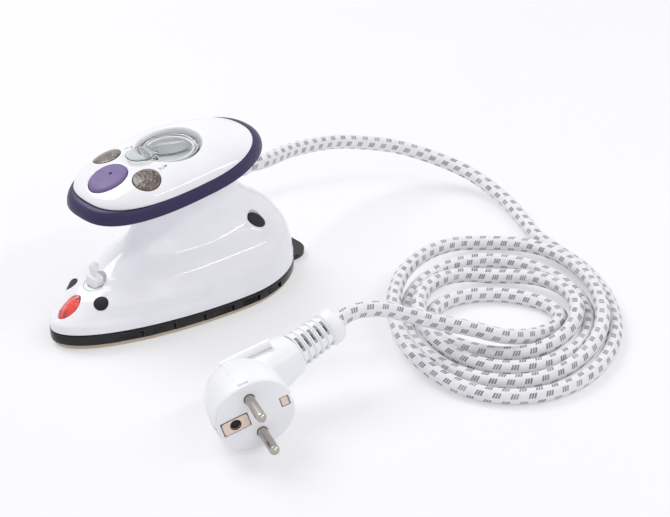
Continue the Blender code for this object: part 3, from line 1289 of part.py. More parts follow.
def coil_points():
    """Loose spiral from its outer end in, every other turn lifted over its neighbours at the sides."""
    turns = COIL_END_TURNS - COIL_START_TURNS
    steps = round(turns * COIL_TURN_POINTS)
    right = Vector((math.cos(COIL_TURN), math.sin(COIL_TURN), 0.0))
    back = Vector((-math.sin(COIL_TURN), math.cos(COIL_TURN), 0.0))
    points = []
    for i in range(steps + 1):
        turn = COIL_START_TURNS + turns * i / steps
        angle = math.pi / 2 - math.tau * turn
        width = COIL_HALF_WIDTH - COIL_WIDTH_PITCH * (turn - 0.25)
        length = COIL_FRONT - COIL_FRONT_PITCH * (turn - 0.5)
        if math.sin(angle) > 0.0:
            pitch = COIL_BACK_PITCH if turn > 1.0 else COIL_OUTER_PITCH
            length = COIL_BACK - pitch * (turn - 1.0)
        last = max(0.0, turn - COIL_END_TURNS + COIL_DRAW_IN_TURNS) / COIL_DRAW_IN_TURNS
        width -= COIL_DRAW_IN * last**2
        length -= COIL_DRAW_IN * last**2
        share = min(1.0, max(0.0, -COIL_LIFT_SHARE * math.cos(math.pi * turn)))
        lift = COIL_LIFT * share * abs(math.cos(angle))
        point = Vector((COIL_X, COIL_Y, COIL_FLOOR + lift))
        points.append(point + right * (width * math.cos(angle)) + back * (length * math.sin(angle)))
    for end, inner in ((0, 1), (-1, -2)):
        away = (points[end] - points[inner]).normalized() * CORD_RADIUS * 2
        points.insert(len(points) if end else 0, points[end] + away)
    return points


def least_gap(points):
    """Least distance between the tube's surfaces, past its own neighbours."""
    apart = COIL_TURN_POINTS // 3
    fine = []
    for a, b in zip(points, points[1:]):
        fine.extend(a.lerp(b, i / 4) for i in range(4))
    least = min(
        (p - q).length
        for i, p in enumerate(fine)
        for q in fine[i + apart * 4:]
    )
    return least - CORD_RADIUS * 2


def cord():
    """Mains cord: a lead to the coil, the coil, and a tail to the plug."""
    coil = coil_points()
    print(f"least gap between the coil's turns: {least_gap(coil) / MM:.2f} mm")
    paint(tube("cord_coil", coil, CORD_RADIUS, 1), TEXTILE)
    step = CORD_RADIUS * 5

    into = (coil[0] - coil[1]).normalized()
    start = cord_exit(GLAND_LENGTH + GAP)
    lead = [start, cord_exit(GLAND_LENGTH + GAP + CORD_RADIUS * 2)]
    lead += [Vector(p) * MM for p in LEAD_ROUTE]
    lead += [coil[0] + into * (GAP + CORD_RADIUS * 2), coil[0] + into * GAP]
    paint(tube("cord_lead", smooth_route(lead, step), CORD_RADIUS, 2), TEXTILE)

    out = (coil[-1] - coil[-2]).normalized()
    pose = plug_matrix() @ arm_matrix()
    collar = pose @ Vector((0.0, 0.0, PLUG_ARM_LENGTH + GAP + BOOT_LENGTH + GAP))
    before = pose @ Vector((0.0, 0.0, PLUG_ARM_LENGTH + BOOT_LENGTH + CORD_RADIUS * 2))
    tail = [coil[-1] + out * GAP, coil[-1] + out * (GAP + CORD_RADIUS * 2)]
    tail += [Vector(p) * MM for p in TAIL_ROUTE]
    tail += [before, collar]
    paint(tube("cord_tail", smooth_route(tail, step), CORD_RADIUS, 2), TEXTILE)


def plug_matrix():
    return Matrix.Translation((PLUG_X, PLUG_Y, PLUG_Z)) @ PLUG_POSE.to_matrix().to_4x4()


def arm_matrix():
    """Frame of the plug's arm: its Z runs out to the cord, away from the earth socket."""
    turn = Matrix.Rotation(-(math.pi / 2 + PLUG_ARM_TURN), 4, "Y")
    return Matrix.Translation((0.0, 0.0, -PLUG_ARM_DEPTH)) @ turn


def grip_bar(name, y, place):
    """Round-ended bar along one side of the plug, for the fingers that pull it out."""
    rings = []
    for end, away in ((GRIP_START, -1), (GRIP_END, 1)):
        stations = []
        for i in range(GRIP_END_SIDES):
            turn = math.pi / 2 * (i + 0.5) / GRIP_END_SIDES
            x = end + away * GRIP_RADIUS * (1 - math.sin(turn))
            stations.append((x, GRIP_RADIUS * math.sin(turn)))
        rings.extend(stations if away < 0 else reversed(stations))
    return loft(name, [
        [Vector((x, y + p.x, p.y - GRIP_DEPTH)) for p in circle(radius, sides=SMALL_SIDES)]
        for x, radius in rings
    ], place)


def plug():
    """Angled two-pin plug with an earth socket on one side and an earth clip on the other."""
    place = frame("plug_place", (PLUG_X, PLUG_Y, PLUG_Z), PLUG_POSE)
    arm = frame("plug_arm_place", (0.0, 0.0, -PLUG_ARM_DEPTH),
                (0.0, -(math.pi / 2 + PLUG_ARM_TURN), 0.0), place)
    rings = []
    for depth, width in PLUG_DOME_SHARES:
        ring = outline(PLUG_RADIUS * width, PLUG_FLAT * width, PLUG_FLAT * width, 0.0,
                       (2.2, 2.2), (2.2, 2.2), -PLUG_DEPTH * depth, points=SMOOTH_SIDES)
        rings.append(ring)
    body = loft("plug_body", rings, place)
    sections = []
    for along, size in PLUG_ARM_SHARES:
        sections.append(outline(
            PLUG_ARM_HALF_WIDTH * size, PLUG_ARM_HALF_HEIGHT * size, PLUG_ARM_HALF_HEIGHT * size,
            0.0, (2.6, 2.6), (2.6, 2.6), PLUG_ARM_LENGTH * along, points=ROUND_SIDES,
        ))
    fuse(body, loft("arm_body_tool", sections, arm))
    for side in (-1, 1):
        fuse(body, grip_bar("grip_tool", side * GRIP_OFFSET, place))

    pins = [(0.0, side * PIN_SPACING / 2) for side in (-1, 1)]
    cut(body, rods("pin_cutter", pins, PLUG_PIN_RADIUS + GAP, -PLUG_PIN_ROOT - GAP, OVERRUN,
                   place, SMALL_SIDES))
    recess = []
    for centre, half_length, half_width in (
        (EARTH_OFFSET, EARTH_HALF_LENGTH, EARTH_HALF_WIDTH),
        (-CLIP_OFFSET, CLIP_HALF_LENGTH, CLIP_HALF_WIDTH),
    ):
        recess.append((
            (centre - half_length - GAP, -half_width - GAP, -EARTH_THICKNESS - GAP),
            (centre + half_length + GAP, half_width + GAP, OVERRUN),
        ))
    cut(body, boxes("earth_cutter", recess, place))
    cut(body, rods("earth_hole_cutter", [(EARTH_OFFSET, 0.0)], EARTH_BORE, -EARTH_HOLE_DEPTH,
                   OVERRUN, place, SMALL_SIDES))
    notches = [
        ((-PLUG_RADIUS - OVERRUN, -NOTCH_HALF_WIDTH, -NOTCH_DEPTH * 3),
         (-PLUG_RADIUS + NOTCH_DEPTH / 2, NOTCH_HALF_WIDTH, OVERRUN)),
        ((PLUG_RADIUS - NOTCH_DEPTH / 3, -NOTCH_HALF_WIDTH, -NOTCH_DEPTH * 3),
         (PLUG_RADIUS + OVERRUN, NOTCH_HALF_WIDTH, OVERRUN)),
    ]
    cut(body, boxes("rim_notch_cutter", notches, place))
    paint(body, WHITE)

    for name, (x, y) in zip(("lower", "upper"), reversed(pins)):
        tip = PLUG_PIN_LENGTH
        profile = [(PLUG_PIN_RADIUS, -PLUG_PIN_ROOT), (PLUG_PIN_RADIUS, tip - PLUG_PIN_RADIUS)]
        for i in range(1, 5):
            turn = math.pi / 2 * i / 4
            radius = PLUG_PIN_RADIUS * math.cos(turn) if i < 4 else 0.0
            profile.append((radius, tip - PLUG_PIN_RADIUS * (1 - math.sin(turn))))
        paint(turned(f"plug_pin_{name}", profile, place, SMALL_SIDES, x, y), NICKEL)

    socket = boxes("earth_socket", [(
        (EARTH_OFFSET - EARTH_HALF_LENGTH, -EARTH_HALF_WIDTH, -EARTH_THICKNESS),
        (EARTH_OFFSET + EARTH_HALF_LENGTH - GAP, EARTH_HALF_WIDTH, 0.0))], place)
    cut(socket, rods("socket_bore_cutter", [(EARTH_OFFSET, 0.0)], EARTH_BORE,
                     -EARTH_THICKNESS - OVERRUN, OVERRUN, place, SMALL_SIDES))
    paint(socket, COPPER)
    clip = boxes("earth_clip", [(
        (-CLIP_OFFSET - CLIP_HALF_LENGTH, -CLIP_HALF_WIDTH, -EARTH_THICKNESS),
        (-CLIP_OFFSET + CLIP_HALF_LENGTH, CLIP_HALF_WIDTH, 0.0))], place)
    paint(clip, COPPER)
    plug_boot(arm)


def plug_boot(arm):
    """Ribbed strain relief with slots on both sides and a rounded collar."""
    start = PLUG_ARM_LENGTH + GAP
    ribbed = BOOT_LENGTH * 0.7
    step = ribbed / BOOT_RIBS
    profile = []
    for i in range(BOOT_RIBS):
        radius = BOOT_ROOT_RADIUS + (BOOT_TIP_RADIUS - BOOT_ROOT_RADIUS) * i / BOOT_RIBS
        z = start + step * i
        profile.extend([(radius, z), (radius - BOOT_RIB_DEPTH, z + step * 0.85)])
    collar = BOOT_LENGTH - ribbed
    for along, size in BOOT_END_SHARES:
        profile.append((BOOT_TIP_RADIUS * size, start + ribbed + collar * along))
    boot = turned("plug_boot", profile, arm, SMALL_SIDES)
    bm = bmesh.new()
    for i in range(BOOT_RIBS):
        z = start + step * (i + 0.5)
        for quarter in range(4):
            turn = Matrix.Rotation(math.pi / 4 + math.pi / 2 * quarter, 3, "Z")
            low, high = BOOT_TIP_RADIUS - BOOT_SLOT_DEPTH, BOOT_ROOT_RADIUS + OVERRUN
            corners = ((low, -BOOT_SLOT_HALF_LENGTH), (high, -BOOT_SLOT_HALF_LENGTH),
                       (high, BOOT_SLOT_HALF_LENGTH), (low, BOOT_SLOT_HALF_LENGTH))
            add_rings(bm, [[turn @ Vector((x, y, end)) for x, y in corners]
                           for end in (z - BOOT_SLOT_HALF_WIDTH, z + BOOT_SLOT_HALF_WIDTH)])
    cut(boot, mesh_object("boot_slot_cutter", bm, arm))
    paint(boot, WHITE)


def main():
    clear_scene()
    handle = frame("handle_place", (0.0, 0.0, HANDLE_Z), (HANDLE_TILT, 0.0, 0.0))
    soleplate()
    heat_shield()
    body_shell(handle)
    pilot_light()
    filler()
    case_screws()
    grip_band(handle)
    lower_shell(handle)
    upper_shell(handle)
    steam_button(handle)
    indicators(handle)
    dial(handle)
    steam_valve(handle)
    water_tank()
    steam_chamber()
    heating_element()
    heat_controls()
    handle_screws(handle)
    cord_entry()
    cord()
    plug()


main()
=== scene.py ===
"""Looks of the mini steam iron: its smooth mouldings, its braided cord, its plug and the stage."""

import math

import bmesh
import bpy
import numpy as np
from bpy.props import FloatProperty, FloatVectorProperty, PointerProperty
from mathutils import Euler, Matrix, Vector


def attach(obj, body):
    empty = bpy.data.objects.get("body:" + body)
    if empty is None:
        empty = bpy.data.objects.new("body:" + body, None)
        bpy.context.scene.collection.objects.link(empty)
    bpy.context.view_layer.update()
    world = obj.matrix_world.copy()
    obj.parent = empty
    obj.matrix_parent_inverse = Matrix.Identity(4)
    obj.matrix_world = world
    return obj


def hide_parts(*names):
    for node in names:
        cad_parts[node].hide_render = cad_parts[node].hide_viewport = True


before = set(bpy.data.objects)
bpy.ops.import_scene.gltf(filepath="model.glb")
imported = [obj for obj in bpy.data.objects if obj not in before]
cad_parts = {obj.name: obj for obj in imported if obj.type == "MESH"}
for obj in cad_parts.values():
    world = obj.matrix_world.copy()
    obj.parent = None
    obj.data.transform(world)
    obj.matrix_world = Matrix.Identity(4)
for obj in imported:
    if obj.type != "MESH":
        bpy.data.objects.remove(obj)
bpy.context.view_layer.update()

bl_info = {
    "name": "Mini steam iron",
    "version": (1, 0, 0),
    "blender": (4, 5, 0),
    "location": "View3D > Sidebar > Iron",
    "description": "Dresses the packed iron with mouldings, braid, plug and stage",
    "category": "Add Mesh",
}

MM = 0.001
DEG = math.pi / 180
GAP = 0.3 * MM
OVERRUN = 1.0 * MM
SIDES = 144
FINE_SIDES = 64
SMALL_SIDES = 32


# Settings


def linear(code):
    """An sRGB hex colour as linear red, green and blue."""
    parts = [int(code[i:i + 2], 16) / 255 for i in (1, 3, 5)]
    return tuple(c / 12.92 if c <= 0.04045 else ((c + 0.055) / 1.055) ** 2.4 for c in parts)


def length(name, millimetres, description):
    return FloatProperty(name=name, description=description, default=millimetres * MM,
                         subtype="DISTANCE", unit="LENGTH", precision=4)


def degrees(name, value, description):
    return FloatProperty(name=name, description=description, default=value * DEG,
                         subtype="ANGLE", unit="ROTATION")


def colour(name, code, description):
    return FloatVectorProperty(name=name, description=description, default=linear(code),
                               subtype="COLOR", size=3, min=0.0, max=1.0)


class IronHullSettings(bpy.types.PropertyGroup):
    bottom: length("Foot", 10.8, "Height of the hull's lower edge over the table")
    height: length("Height", 51.7, "Height of the hull and neck")
    half_width: length("Half width", 37.4, "Half width at the widest place")
    nose: length("Nose", 76.5, "Reach of the hull to the front")
    heel: length("Heel", 67.8, "Reach of the hull to the rear")
    widest: length("Widest place", 22.0, "How far behind the origin the hull is widest")
    wall: length("Wall", 2.2, "Thickness of the moulded wall")
    sole_half_width: length("Sole half width", 35.0, "Half width of the pressed plate")
    sole_nose: length("Sole nose", 74.1, "Reach of the plate to the front")
    sole_heel: length("Sole heel", 65.8, "Reach of the plate to the rear")
    skirt_outset: length("Skirt outset", 2.4, "How far the black skirt stands out from the plate")


class IronHandleSettings(bpy.types.PropertyGroup):
    rise: length("Height", 69.8, "Height of the band's lower edge over the table")
    tilt: degrees("Tilt", 4.57, "Upward lean of the handle towards the rear")
    band_height: length("Band height", 6.3, "Height of the purple band")
    half_width: length("Half width", 29.5, "Half width of the band's upper edge")
    front: length("Front", 52.2, "Reach of the band's upper edge to the front")
    rear: length("Rear", 44.2, "Reach of the band's upper edge to the rear")
    crown: length("Crown", 11.2, "Height of the domed crown over the band")
    sweep: length("Sweep", 2.4, "How far the rear of the handle sweeps up")
    dial_radius: length("Dial radius", 15.0, "Radius of the clear dial disc")
    button_half_width: length("Button half width", 8.7, "Half width of the steam button")
    button_half_length: length("Button half length", 10.0, "Half length of the steam button")


class IronCordSettings(bpy.types.PropertyGroup):
    radius: length("Radius", 3.75, "Radius of the braided cord")
    coil_half_width: length("Coil half width", 56.5, "Half width of the coil's outer turn")
    coil_front: length("Coil front", 69.6, "Reach of the outer turn towards the camera")
    coil_back: length("Coil back", 75.0, "Reach of the outer turn away from the camera")
    coil_lift: length("Coil lift", 7.0, "How far every other turn climbs over its neighbours")
    dash: length("Dash pitch", 8.0, "Distance between two grey dashes along the cord")


class IronColourSettings(bpy.types.PropertyGroup):
    shell: colour("Shell", "#F1F1F5", "White mouldings of the hull and handle")
    band: colour("Band", "#302450", "Soft purple band of the handle")
    button: colour("Button", "#756494", "Lilac thumb button")
    caps: colour("Caps", "#140F1E", "Screw caps")
    skirt: colour("Skirt", "#0F0D11", "Black skirt")
    plate: colour("Plate", "#D6C5AE", "Coated edge of the pressed plate")
    lamp: colour("Lamp", "#D8281C", "Red lens in the nose")
    smoked: colour("Smoked lens", "#59463E", "Bronze lenses in the crown")
    dial: colour("Dial", "#F1F5F5", "Clear dial")
    braid: colour("Braid", "#F5F5F7", "Light yarns of the cord")
    dash: colour("Braid dash", "#7E7E86", "Grey yarns of the cord")
    plug: colour("Plug", "#F3F4F6", "White plug")
    floor: colour("Floor", "#F3F3F7", "Pale floor")


class IronStageSettings(bpy.types.PropertyGroup):
    focal: FloatProperty(name="Focal length", description="Lens in millimetres on a 36 mm sensor",
                         default=115.33, min=1.0)
    key: FloatProperty(name="Key light", description="Power of the large soft light",
                       default=9.2, min=0.0, subtype="POWER", unit="POWER")
    fill: FloatProperty(name="Fill light", description="Power of the light from the right",
                        default=2.6, min=0.0, subtype="POWER", unit="POWER")
    strip: FloatProperty(name="Strip light", description="Power of the narrow light behind",
                         default=2.5, min=0.0, subtype="POWER", unit="POWER")
    sky: FloatProperty(name="Sky", description="Strength of the even light from all round",
                       default=0.55, min=0.0)


GROUPS = {
    "iron_hull": IronHullSettings,
    "iron_handle": IronHandleSettings,
    "iron_cord": IronCordSettings,
    "iron_colours": IronColourSettings,
    "iron_stage": IronStageSettings,
}


# Shapes


def power(value, exponent):
    return math.copysign(abs(value) ** exponent, value)


def outline(half_width, nose, heel, widest, nose_powers=(2, 2), heel_powers=(2, 2), z=0.0,
            points=SIDES):
    """Closed outline from a front and a rear half that meet at the widest place."""
    ring = []
    for i in range(points):
        turn = math.tau * i / points
        across, along = math.cos(turn), math.sin(turn)
        powers = heel_powers if along >= 0 else nose_powers
        reach = heel - widest if along >= 0 else nose + widest
        ring.append(Vector((half_width * power(across, 2 / powers[0]),
                            widest + reach * power(along, 2 / powers[1]), z)))
    return ring


def offset(ring, distance, z=None):
    """Move each point of a flat ring outwards."""
    moved = []
    for i, point in enumerate(ring):
        along = ring[(i + 1) % len(ring)] - ring[i - 1]
        outward = Vector((along.y, -along.x, 0.0)).normalized()
        place = point + outward * distance
        moved.append(Vector((place.x, place.y, point.z if z is None else z)))
    return moved


def circle(radius, z=0.0, sides=FINE_SIDES, x=0.0, y=0.0):
    turns = [math.tau * i / sides for i in range(sides)]
    return [Vector((x + radius * math.cos(a), y + radius * math.sin(a), z)) for a in turns]


def smooth_table(rows, steps):
    """More rows of a table, on a curve through each column that never overshoots."""
    rows = np.array(rows, float)
    at, values = rows[:, 0], rows[:, 1:]
    gaps = np.diff(at)[:, None]
    slopes = np.diff(values, axis=0) / gaps
    tangents = np.zeros_like(values)
    tangents[0], tangents[-1] = slopes[0], slopes[-1]
    same = slopes[:-1] * slopes[1:] > 0
    with np.errstate(divide="ignore", invalid="ignore"):
        mean = 2 * slopes[:-1] * slopes[1:] / (slopes[:-1] + slopes[1:])
    tangents[1:-1] = np.where(same, mean, 0.0)
    wanted = np.linspace(at[0], at[-1], steps)
    found = []
    for x in wanted:
        i = min(int(np.searchsorted(at, x, side="right")) - 1, len(at) - 2)
        h = at[i + 1] - at[i]
        t = (x - at[i]) / h
        found.append([x, *((2 * t**3 - 3 * t**2 + 1) * values[i] + (t**3 - 2 * t**2 + t) * h
                           * tangents[i] + (3 * t**2 - 2 * t**3) * values[i + 1]
                           + (t**3 - t**2) * h * tangents[i + 1])])
    return found


def mesh_piece(name, bm, place=None, smooth=35 * DEG):
    """Object of the mesh, moved to its place, with edges sharper than the angle kept crisp."""
    bmesh.ops.remove_doubles(bm, verts=bm.verts, dist=1e-7)
    bmesh.ops.recalc_face_normals(bm, faces=bm.faces)
    if place is not None:
        bm.transform(place)
    for face in bm.faces:
        face.smooth = True
    for edge in bm.edges:
        edge.smooth = len(edge.link_faces) == 2 and edge.calc_face_angle(0.0) < smooth
    data = bpy.data.meshes.new(name)
    bm.to_mesh(data)
    bm.free()
    obj = bpy.data.objects.new(name, data)
    bpy.context.scene.collection.objects.link(obj)
    return obj


def add_rings(bm, rings, cyclic=False):
    """Skin the rings. Open lofts get flat ends."""
    rows = [[bm.verts.new(p) for p in ring] for ring in rings]
    pairs = list(zip(rows, rows[1:]))
    if cyclic:
        pairs.append((rows[-1], rows[0]))
    for low, high in pairs:
        for i in range(len(low)):
            j = (i + 1) % len(low)
            bm.faces.new((low[i], low[j], high[j], high[i]))
    if not cyclic:
        bm.faces.new(rows[0])
        bm.faces.new(rows[-1])


def loft(name, rings, place=None, cyclic=False, smooth=35 * DEG):
    bm = bmesh.new()
    add_rings(bm, rings, cyclic)
    return mesh_piece(name, bm, place, smooth)


def turned(name, profile, place=None, sides=FINE_SIDES, cyclic=False, smooth=35 * DEG):
    """Profile of (radius, height) pairs turned about the place's Z."""
    rings = [circle(max(radius, 1e-6), z, sides) for radius, z in profile]
    return loft(name, rings, place, cyclic, smooth)


def rods(name, places, radius, bottom, top, place=None, sides=FINE_SIDES):
    bm = bmesh.new()
    for x, y in places:
        add_rings(bm, [circle(radius, z, sides, x, y) for z in (bottom, top)])
    return mesh_piece(name, bm, place)


def boxes(name, spans, place=None):
    bm = bmesh.new()
    for low, high in spans:
        corners = [Vector((x, y, low[2])) for x, y in ((low[0], low[1]), (high[0], low[1]),
                                                       (high[0], high[1]), (low[0], high[1]))]
        add_rings(bm, [corners, [Vector((p.x, p.y, high[2])) for p in corners]])
    return mesh_piece(name, bm, place)


def combine(obj, operation, tool, smooth=35 * DEG):
    """Exact Boolean with the tool, which is used up."""
    modifier = obj.modifiers.new(operation, "BOOLEAN")
    modifier.operation, modifier.solver, modifier.object = operation, "EXACT", tool
    bpy.context.view_layer.update()
    made = bpy.data.meshes.new_from_object(obj.evaluated_get(bpy.context.evaluated_depsgraph_get()))
    obj.modifiers.clear()
    obj.data = made
    bpy.data.objects.remove(tool)
    if not made.polygons:
        raise RuntimeError(f"{obj.name} has no faces left")
    bm = bmesh.new()
    bm.from_mesh(made)
    bmesh.ops.dissolve_degenerate(bm, edges=bm.edges, dist=1e-7)
    for face in bm.faces:
        face.smooth = True
    for edge in bm.edges:
        edge.smooth = len(edge.link_faces) == 2 and edge.calc_face_angle(0.0) < smooth
    bm.to_mesh(made)
    bm.free()
    return obj


def cut(obj, tool):
    return combine(obj, "DIFFERENCE", tool)


def fuse(obj, tool):
    return combine(obj, "UNION", tool)


def keep_inside(obj, tool):
    return combine(obj, "INTERSECT", tool)


def finish_piece(obj, body, material, nodes=()):
    """Give the piece its material and its body, and hide the CAD nodes that it stands for."""
    obj.data.materials.clear()
    obj.data.materials.append(material)
    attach(obj, body)
    if nodes:
        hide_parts(*nodes)
    return obj


# Materials


def new_material(name):
    material = bpy.data.materials.new(name)
    material.use_nodes = True
    tree = material.node_tree
    return material, tree, tree.nodes["Principled BSDF"]


def add_node(tree, kind, settings=None, **links):
    """Add a node, set its values and link its inputs. A key is a socket's name or number."""
    node = tree.nodes.new(kind)
    for key, value in (settings or {}).items():
        if isinstance(key, str) and hasattr(node, key):
            setattr(node, key, value)
        else:
            node.inputs[key].default_value = value
    for key, source in links.items():
        socket = node.inputs[int(key[1:]) if key[1:].isdigit() else key.replace("_", " ")]
        tree.links.new(source, socket)
    return node


def ramp(tree, source, stops):
    """Colour ramp through (place, colour) stops."""
    node = add_node(tree, "ShaderNodeValToRGB", Fac=source)
    elements = node.color_ramp.elements
    while len(elements) < len(stops):
        elements.new(0.5)
    for element, (place, value) in zip(elements, stops):
        element.position = place
        element.color = (*value, 1.0)
    return node.outputs["Color"]


def shade(rgb, factor):
    return tuple(min(1.0, c * factor) for c in rgb)


def moulded(name, rgb, roughness, grain_mm, grain_depth, wear=0.06, gloss=0.5, ior=1.5,
            subsurface=0.0):
    """Injection-moulded plastic: a texture from the mould, a faint flow mottle, and rub marks."""
    material, tree, surface = new_material(name)
    where = add_node(tree, "ShaderNodeTexCoord").outputs["Object"]
    flow = add_node(tree, "ShaderNodeTexNoise", {"Scale": 1 / (22 * MM), "Detail": 3.0},
                    Vector=where)
    rub = add_node(tree, "ShaderNodeTexNoise", {"Scale": 1 / (6 * MM), "Detail": 5.0,
                                                "Roughness": 0.65}, Vector=where)
    grain = add_node(tree, "ShaderNodeTexNoise", {"Scale": 1 / (grain_mm * MM), "Detail": 2.0},
                     Vector=where)
    tree.links.new(ramp(tree, flow.outputs["Fac"], ((0.35, shade(rgb, 1 - wear / 2)),
                                                    (0.65, shade(rgb, 1 + wear / 4)))),
                   surface.inputs["Base Color"])
    rough = add_node(tree, "ShaderNodeMapRange", {"From Min": 0.3, "From Max": 0.75,
                                                  "To Min": roughness * 0.85,
                                                  "To Max": roughness * 1.2},
                     Value=rub.outputs["Fac"])
    tree.links.new(rough.outputs["Result"], surface.inputs["Roughness"])
    bump = add_node(tree, "ShaderNodeBump", {"Strength": 1.0, "Distance": grain_depth * MM},
                    Height=grain.outputs["Fac"])
    tree.links.new(bump.outputs["Normal"], surface.inputs["Normal"])
    surface.inputs["IOR"].default_value = ior
    surface.inputs["Specular IOR Level"].default_value = gloss
    if subsurface:
        surface.inputs["Subsurface Weight"].default_value = subsurface
        surface.inputs["Subsurface Radius"].default_value = (1.0, 0.9, 0.8)
        surface.inputs["Subsurface Scale"].default_value = 2 * MM
    return material


def metal(name, rgb, roughness, grain_mm, grain_depth, stretch=(1.0, 1.0, 1.0)):
    """Bare metal with the marks of how it was drawn, pressed or polished."""
    material, tree, surface = new_material(name)
    where = add_node(tree, "ShaderNodeTexCoord").outputs["Object"]
    stretched = add_node(tree, "ShaderNodeMapping", {"Scale": stretch}, Vector=where)
    grain = add_node(tree, "ShaderNodeTexNoise", {"Scale": 1 / (grain_mm * MM), "Detail": 4.0},
                     Vector=stretched.outputs["Vector"])
    haze = add_node(tree, "ShaderNodeTexNoise", {"Scale": 1 / (5 * MM), "Detail": 3.0},
                    Vector=where)
    tree.links.new(ramp(tree, haze.outputs["Fac"], ((0.3, shade(rgb, 0.9)), (0.7, rgb))),
                   surface.inputs["Base Color"])
    rough = add_node(tree, "ShaderNodeMapRange", {"From Min": 0.3, "From Max": 0.7,
                                                  "To Min": roughness * 0.8,
                                                  "To Max": roughness * 1.25},
                     Value=grain.outputs["Fac"])
    tree.links.new(rough.outputs["Result"], surface.inputs["Roughness"])
    bump = add_node(tree, "ShaderNodeBump", {"Strength": 0.6, "Distance": grain_depth * MM},
                    Height=grain.outputs["Fac"])
    tree.links.new(bump.outputs["Normal"], surface.inputs["Normal"])
    surface.inputs["Metallic"].default_value = 1.0
    return material


def clear_plastic(name, rgb, roughness, transmission, ior=1.58, ripple_mm=7.0, ripple_depth=0.02):
    """See-through moulding with the slow ripple that cooling leaves in a clear part."""
    material, tree, surface = new_material(name)
    where = add_node(tree, "ShaderNodeTexCoord").outputs["Object"]
    ripple = add_node(tree, "ShaderNodeTexNoise", {"Scale": 1 / (ripple_mm * MM), "Detail": 2.0},
                      Vector=where)
    smear = add_node(tree, "ShaderNodeTexNoise", {"Scale": 1 / (3 * MM), "Detail": 4.0},
                     Vector=where)
    rough = add_node(tree, "ShaderNodeMapRange", {"From Min": 0.35, "From Max": 0.75,
                                                  "To Min": roughness * 0.6,
                                                  "To Max": roughness * 1.6},
                     Value=smear.outputs["Fac"])
    tree.links.new(rough.outputs["Result"], surface.inputs["Roughness"])
    bump = add_node(tree, "ShaderNodeBump", {"Strength": 0.5, "Distance": ripple_depth * MM},
                    Height=ripple.outputs["Fac"])
    tree.links.new(bump.outputs["Normal"], surface.inputs["Normal"])
    surface.inputs["Base Color"].default_value = (*rgb, 1.0)
    surface.inputs["Transmission Weight"].default_value = transmission
    surface.inputs["IOR"].default_value = ior
    return material


def braid(name, light, grey, pitch_mm, radius):
    """Braided cotton and polyester sleeve: fine slanted yarns, and rows of grey dashes of three
    yarns each, staggered by half a pitch. U runs once round the cord and V in metres along it."""
    material, tree, surface = new_material(name)
    uv = add_node(tree, "ShaderNodeUVMap", {"uv_map": "braid"}).outputs["UV"]
    axes = add_node(tree, "ShaderNodeSeparateXYZ", Vector=uv)
    around, along = axes.outputs["X"], axes.outputs["Y"]

    def maths(kind, a, b=0.0, c=0.0):
        node = add_node(tree, "ShaderNodeMath", {"operation": kind})
        for i, value in enumerate((a, b, c)):
            if isinstance(value, (int, float)):
                node.inputs[i].default_value = value
            else:
                tree.links.new(value, node.inputs[i])
        return node.outputs[0]

    rows = 6
    row = maths("MULTIPLY", around, float(rows))
    row_number = maths("FLOOR", row)
    in_row = maths("FRACT", row)
    odd = maths("MULTIPLY", maths("MODULO", row_number, 2.0), 0.5)
    step = maths("DIVIDE", along, pitch_mm * MM)
    slant = maths("MULTIPLY", maths("SUBTRACT", in_row, 0.5), 0.16)
    place = maths("FRACT", maths("ADD", maths("ADD", step, odd), slant))
    thread = maths("PINGPONG", maths("MULTIPLY", place, 6.6), 0.5)
    inside = maths("MULTIPLY", maths("LESS_THAN", place, 0.44),
                   maths("GREATER_THAN", thread, 0.12))
    across = maths("COMPARE", in_row, 0.5, 0.33)
    dash = maths("MULTIPLY", inside, across)

    wander = add_node(tree, "ShaderNodeTexNoise", {"Scale": 1 / (9 * MM), "Detail": 2.0},
                      Vector=add_node(tree, "ShaderNodeTexCoord").outputs["Object"])
    strength = add_node(tree, "ShaderNodeMapRange", {"From Min": 0.35, "From Max": 0.65,
                                                     "To Min": 0.72, "To Max": 1.0},
                        Value=wander.outputs["Fac"])
    # Yarns of 0.35 mm are near the size of a pixel, so they are drawn 0.7 mm wide to show.
    yarn = maths("PINGPONG", maths("MULTIPLY", maths("ADD", along, maths("MULTIPLY", around,
                 2.2 * math.tau * radius)), 1 / (0.7 * MM)), 0.5)
    other = maths("PINGPONG", maths("MULTIPLY", maths("SUBTRACT", along, maths("MULTIPLY", around,
                  2.2 * math.tau * radius)), 1 / (0.7 * MM)), 0.5)
    weave = maths("MAXIMUM", yarn, other)
    # Painted shade: the light yarn is coloured darker, down to 86 per cent, in the grooves where the
    # weave is low
    yarn_with_groove_shade = add_node(tree, "ShaderNodeMix", {"data_type": "RGBA"})
    yarn_with_groove_shade.inputs[6].default_value = (*shade(light, 0.86), 1.0)
    yarn_with_groove_shade.inputs[7].default_value = (*light, 1.0)
    tree.links.new(maths("MULTIPLY", weave, 2.0), yarn_with_groove_shade.inputs[0])
    mixed = add_node(tree, "ShaderNodeMix", {"data_type": "RGBA"})
    tree.links.new(maths("MULTIPLY", dash, strength.outputs["Result"]), mixed.inputs[0])
    tree.links.new(yarn_with_groove_shade.outputs[2], mixed.inputs[6])
    mixed.inputs[7].default_value = (*grey, 1.0)
    tree.links.new(mixed.outputs[2], surface.inputs["Base Color"])
    bump = add_node(tree, "ShaderNodeBump", {"Strength": 0.7, "Distance": 0.18 * MM},
                    Height=weave)
    tree.links.new(bump.outputs["Normal"], surface.inputs["Normal"])
    surface.inputs["Roughness"].default_value = 0.85
    surface.inputs["Sheen Weight"].default_value = 0.25
    surface.inputs["Sheen Roughness"].default_value = 0.5
    return material


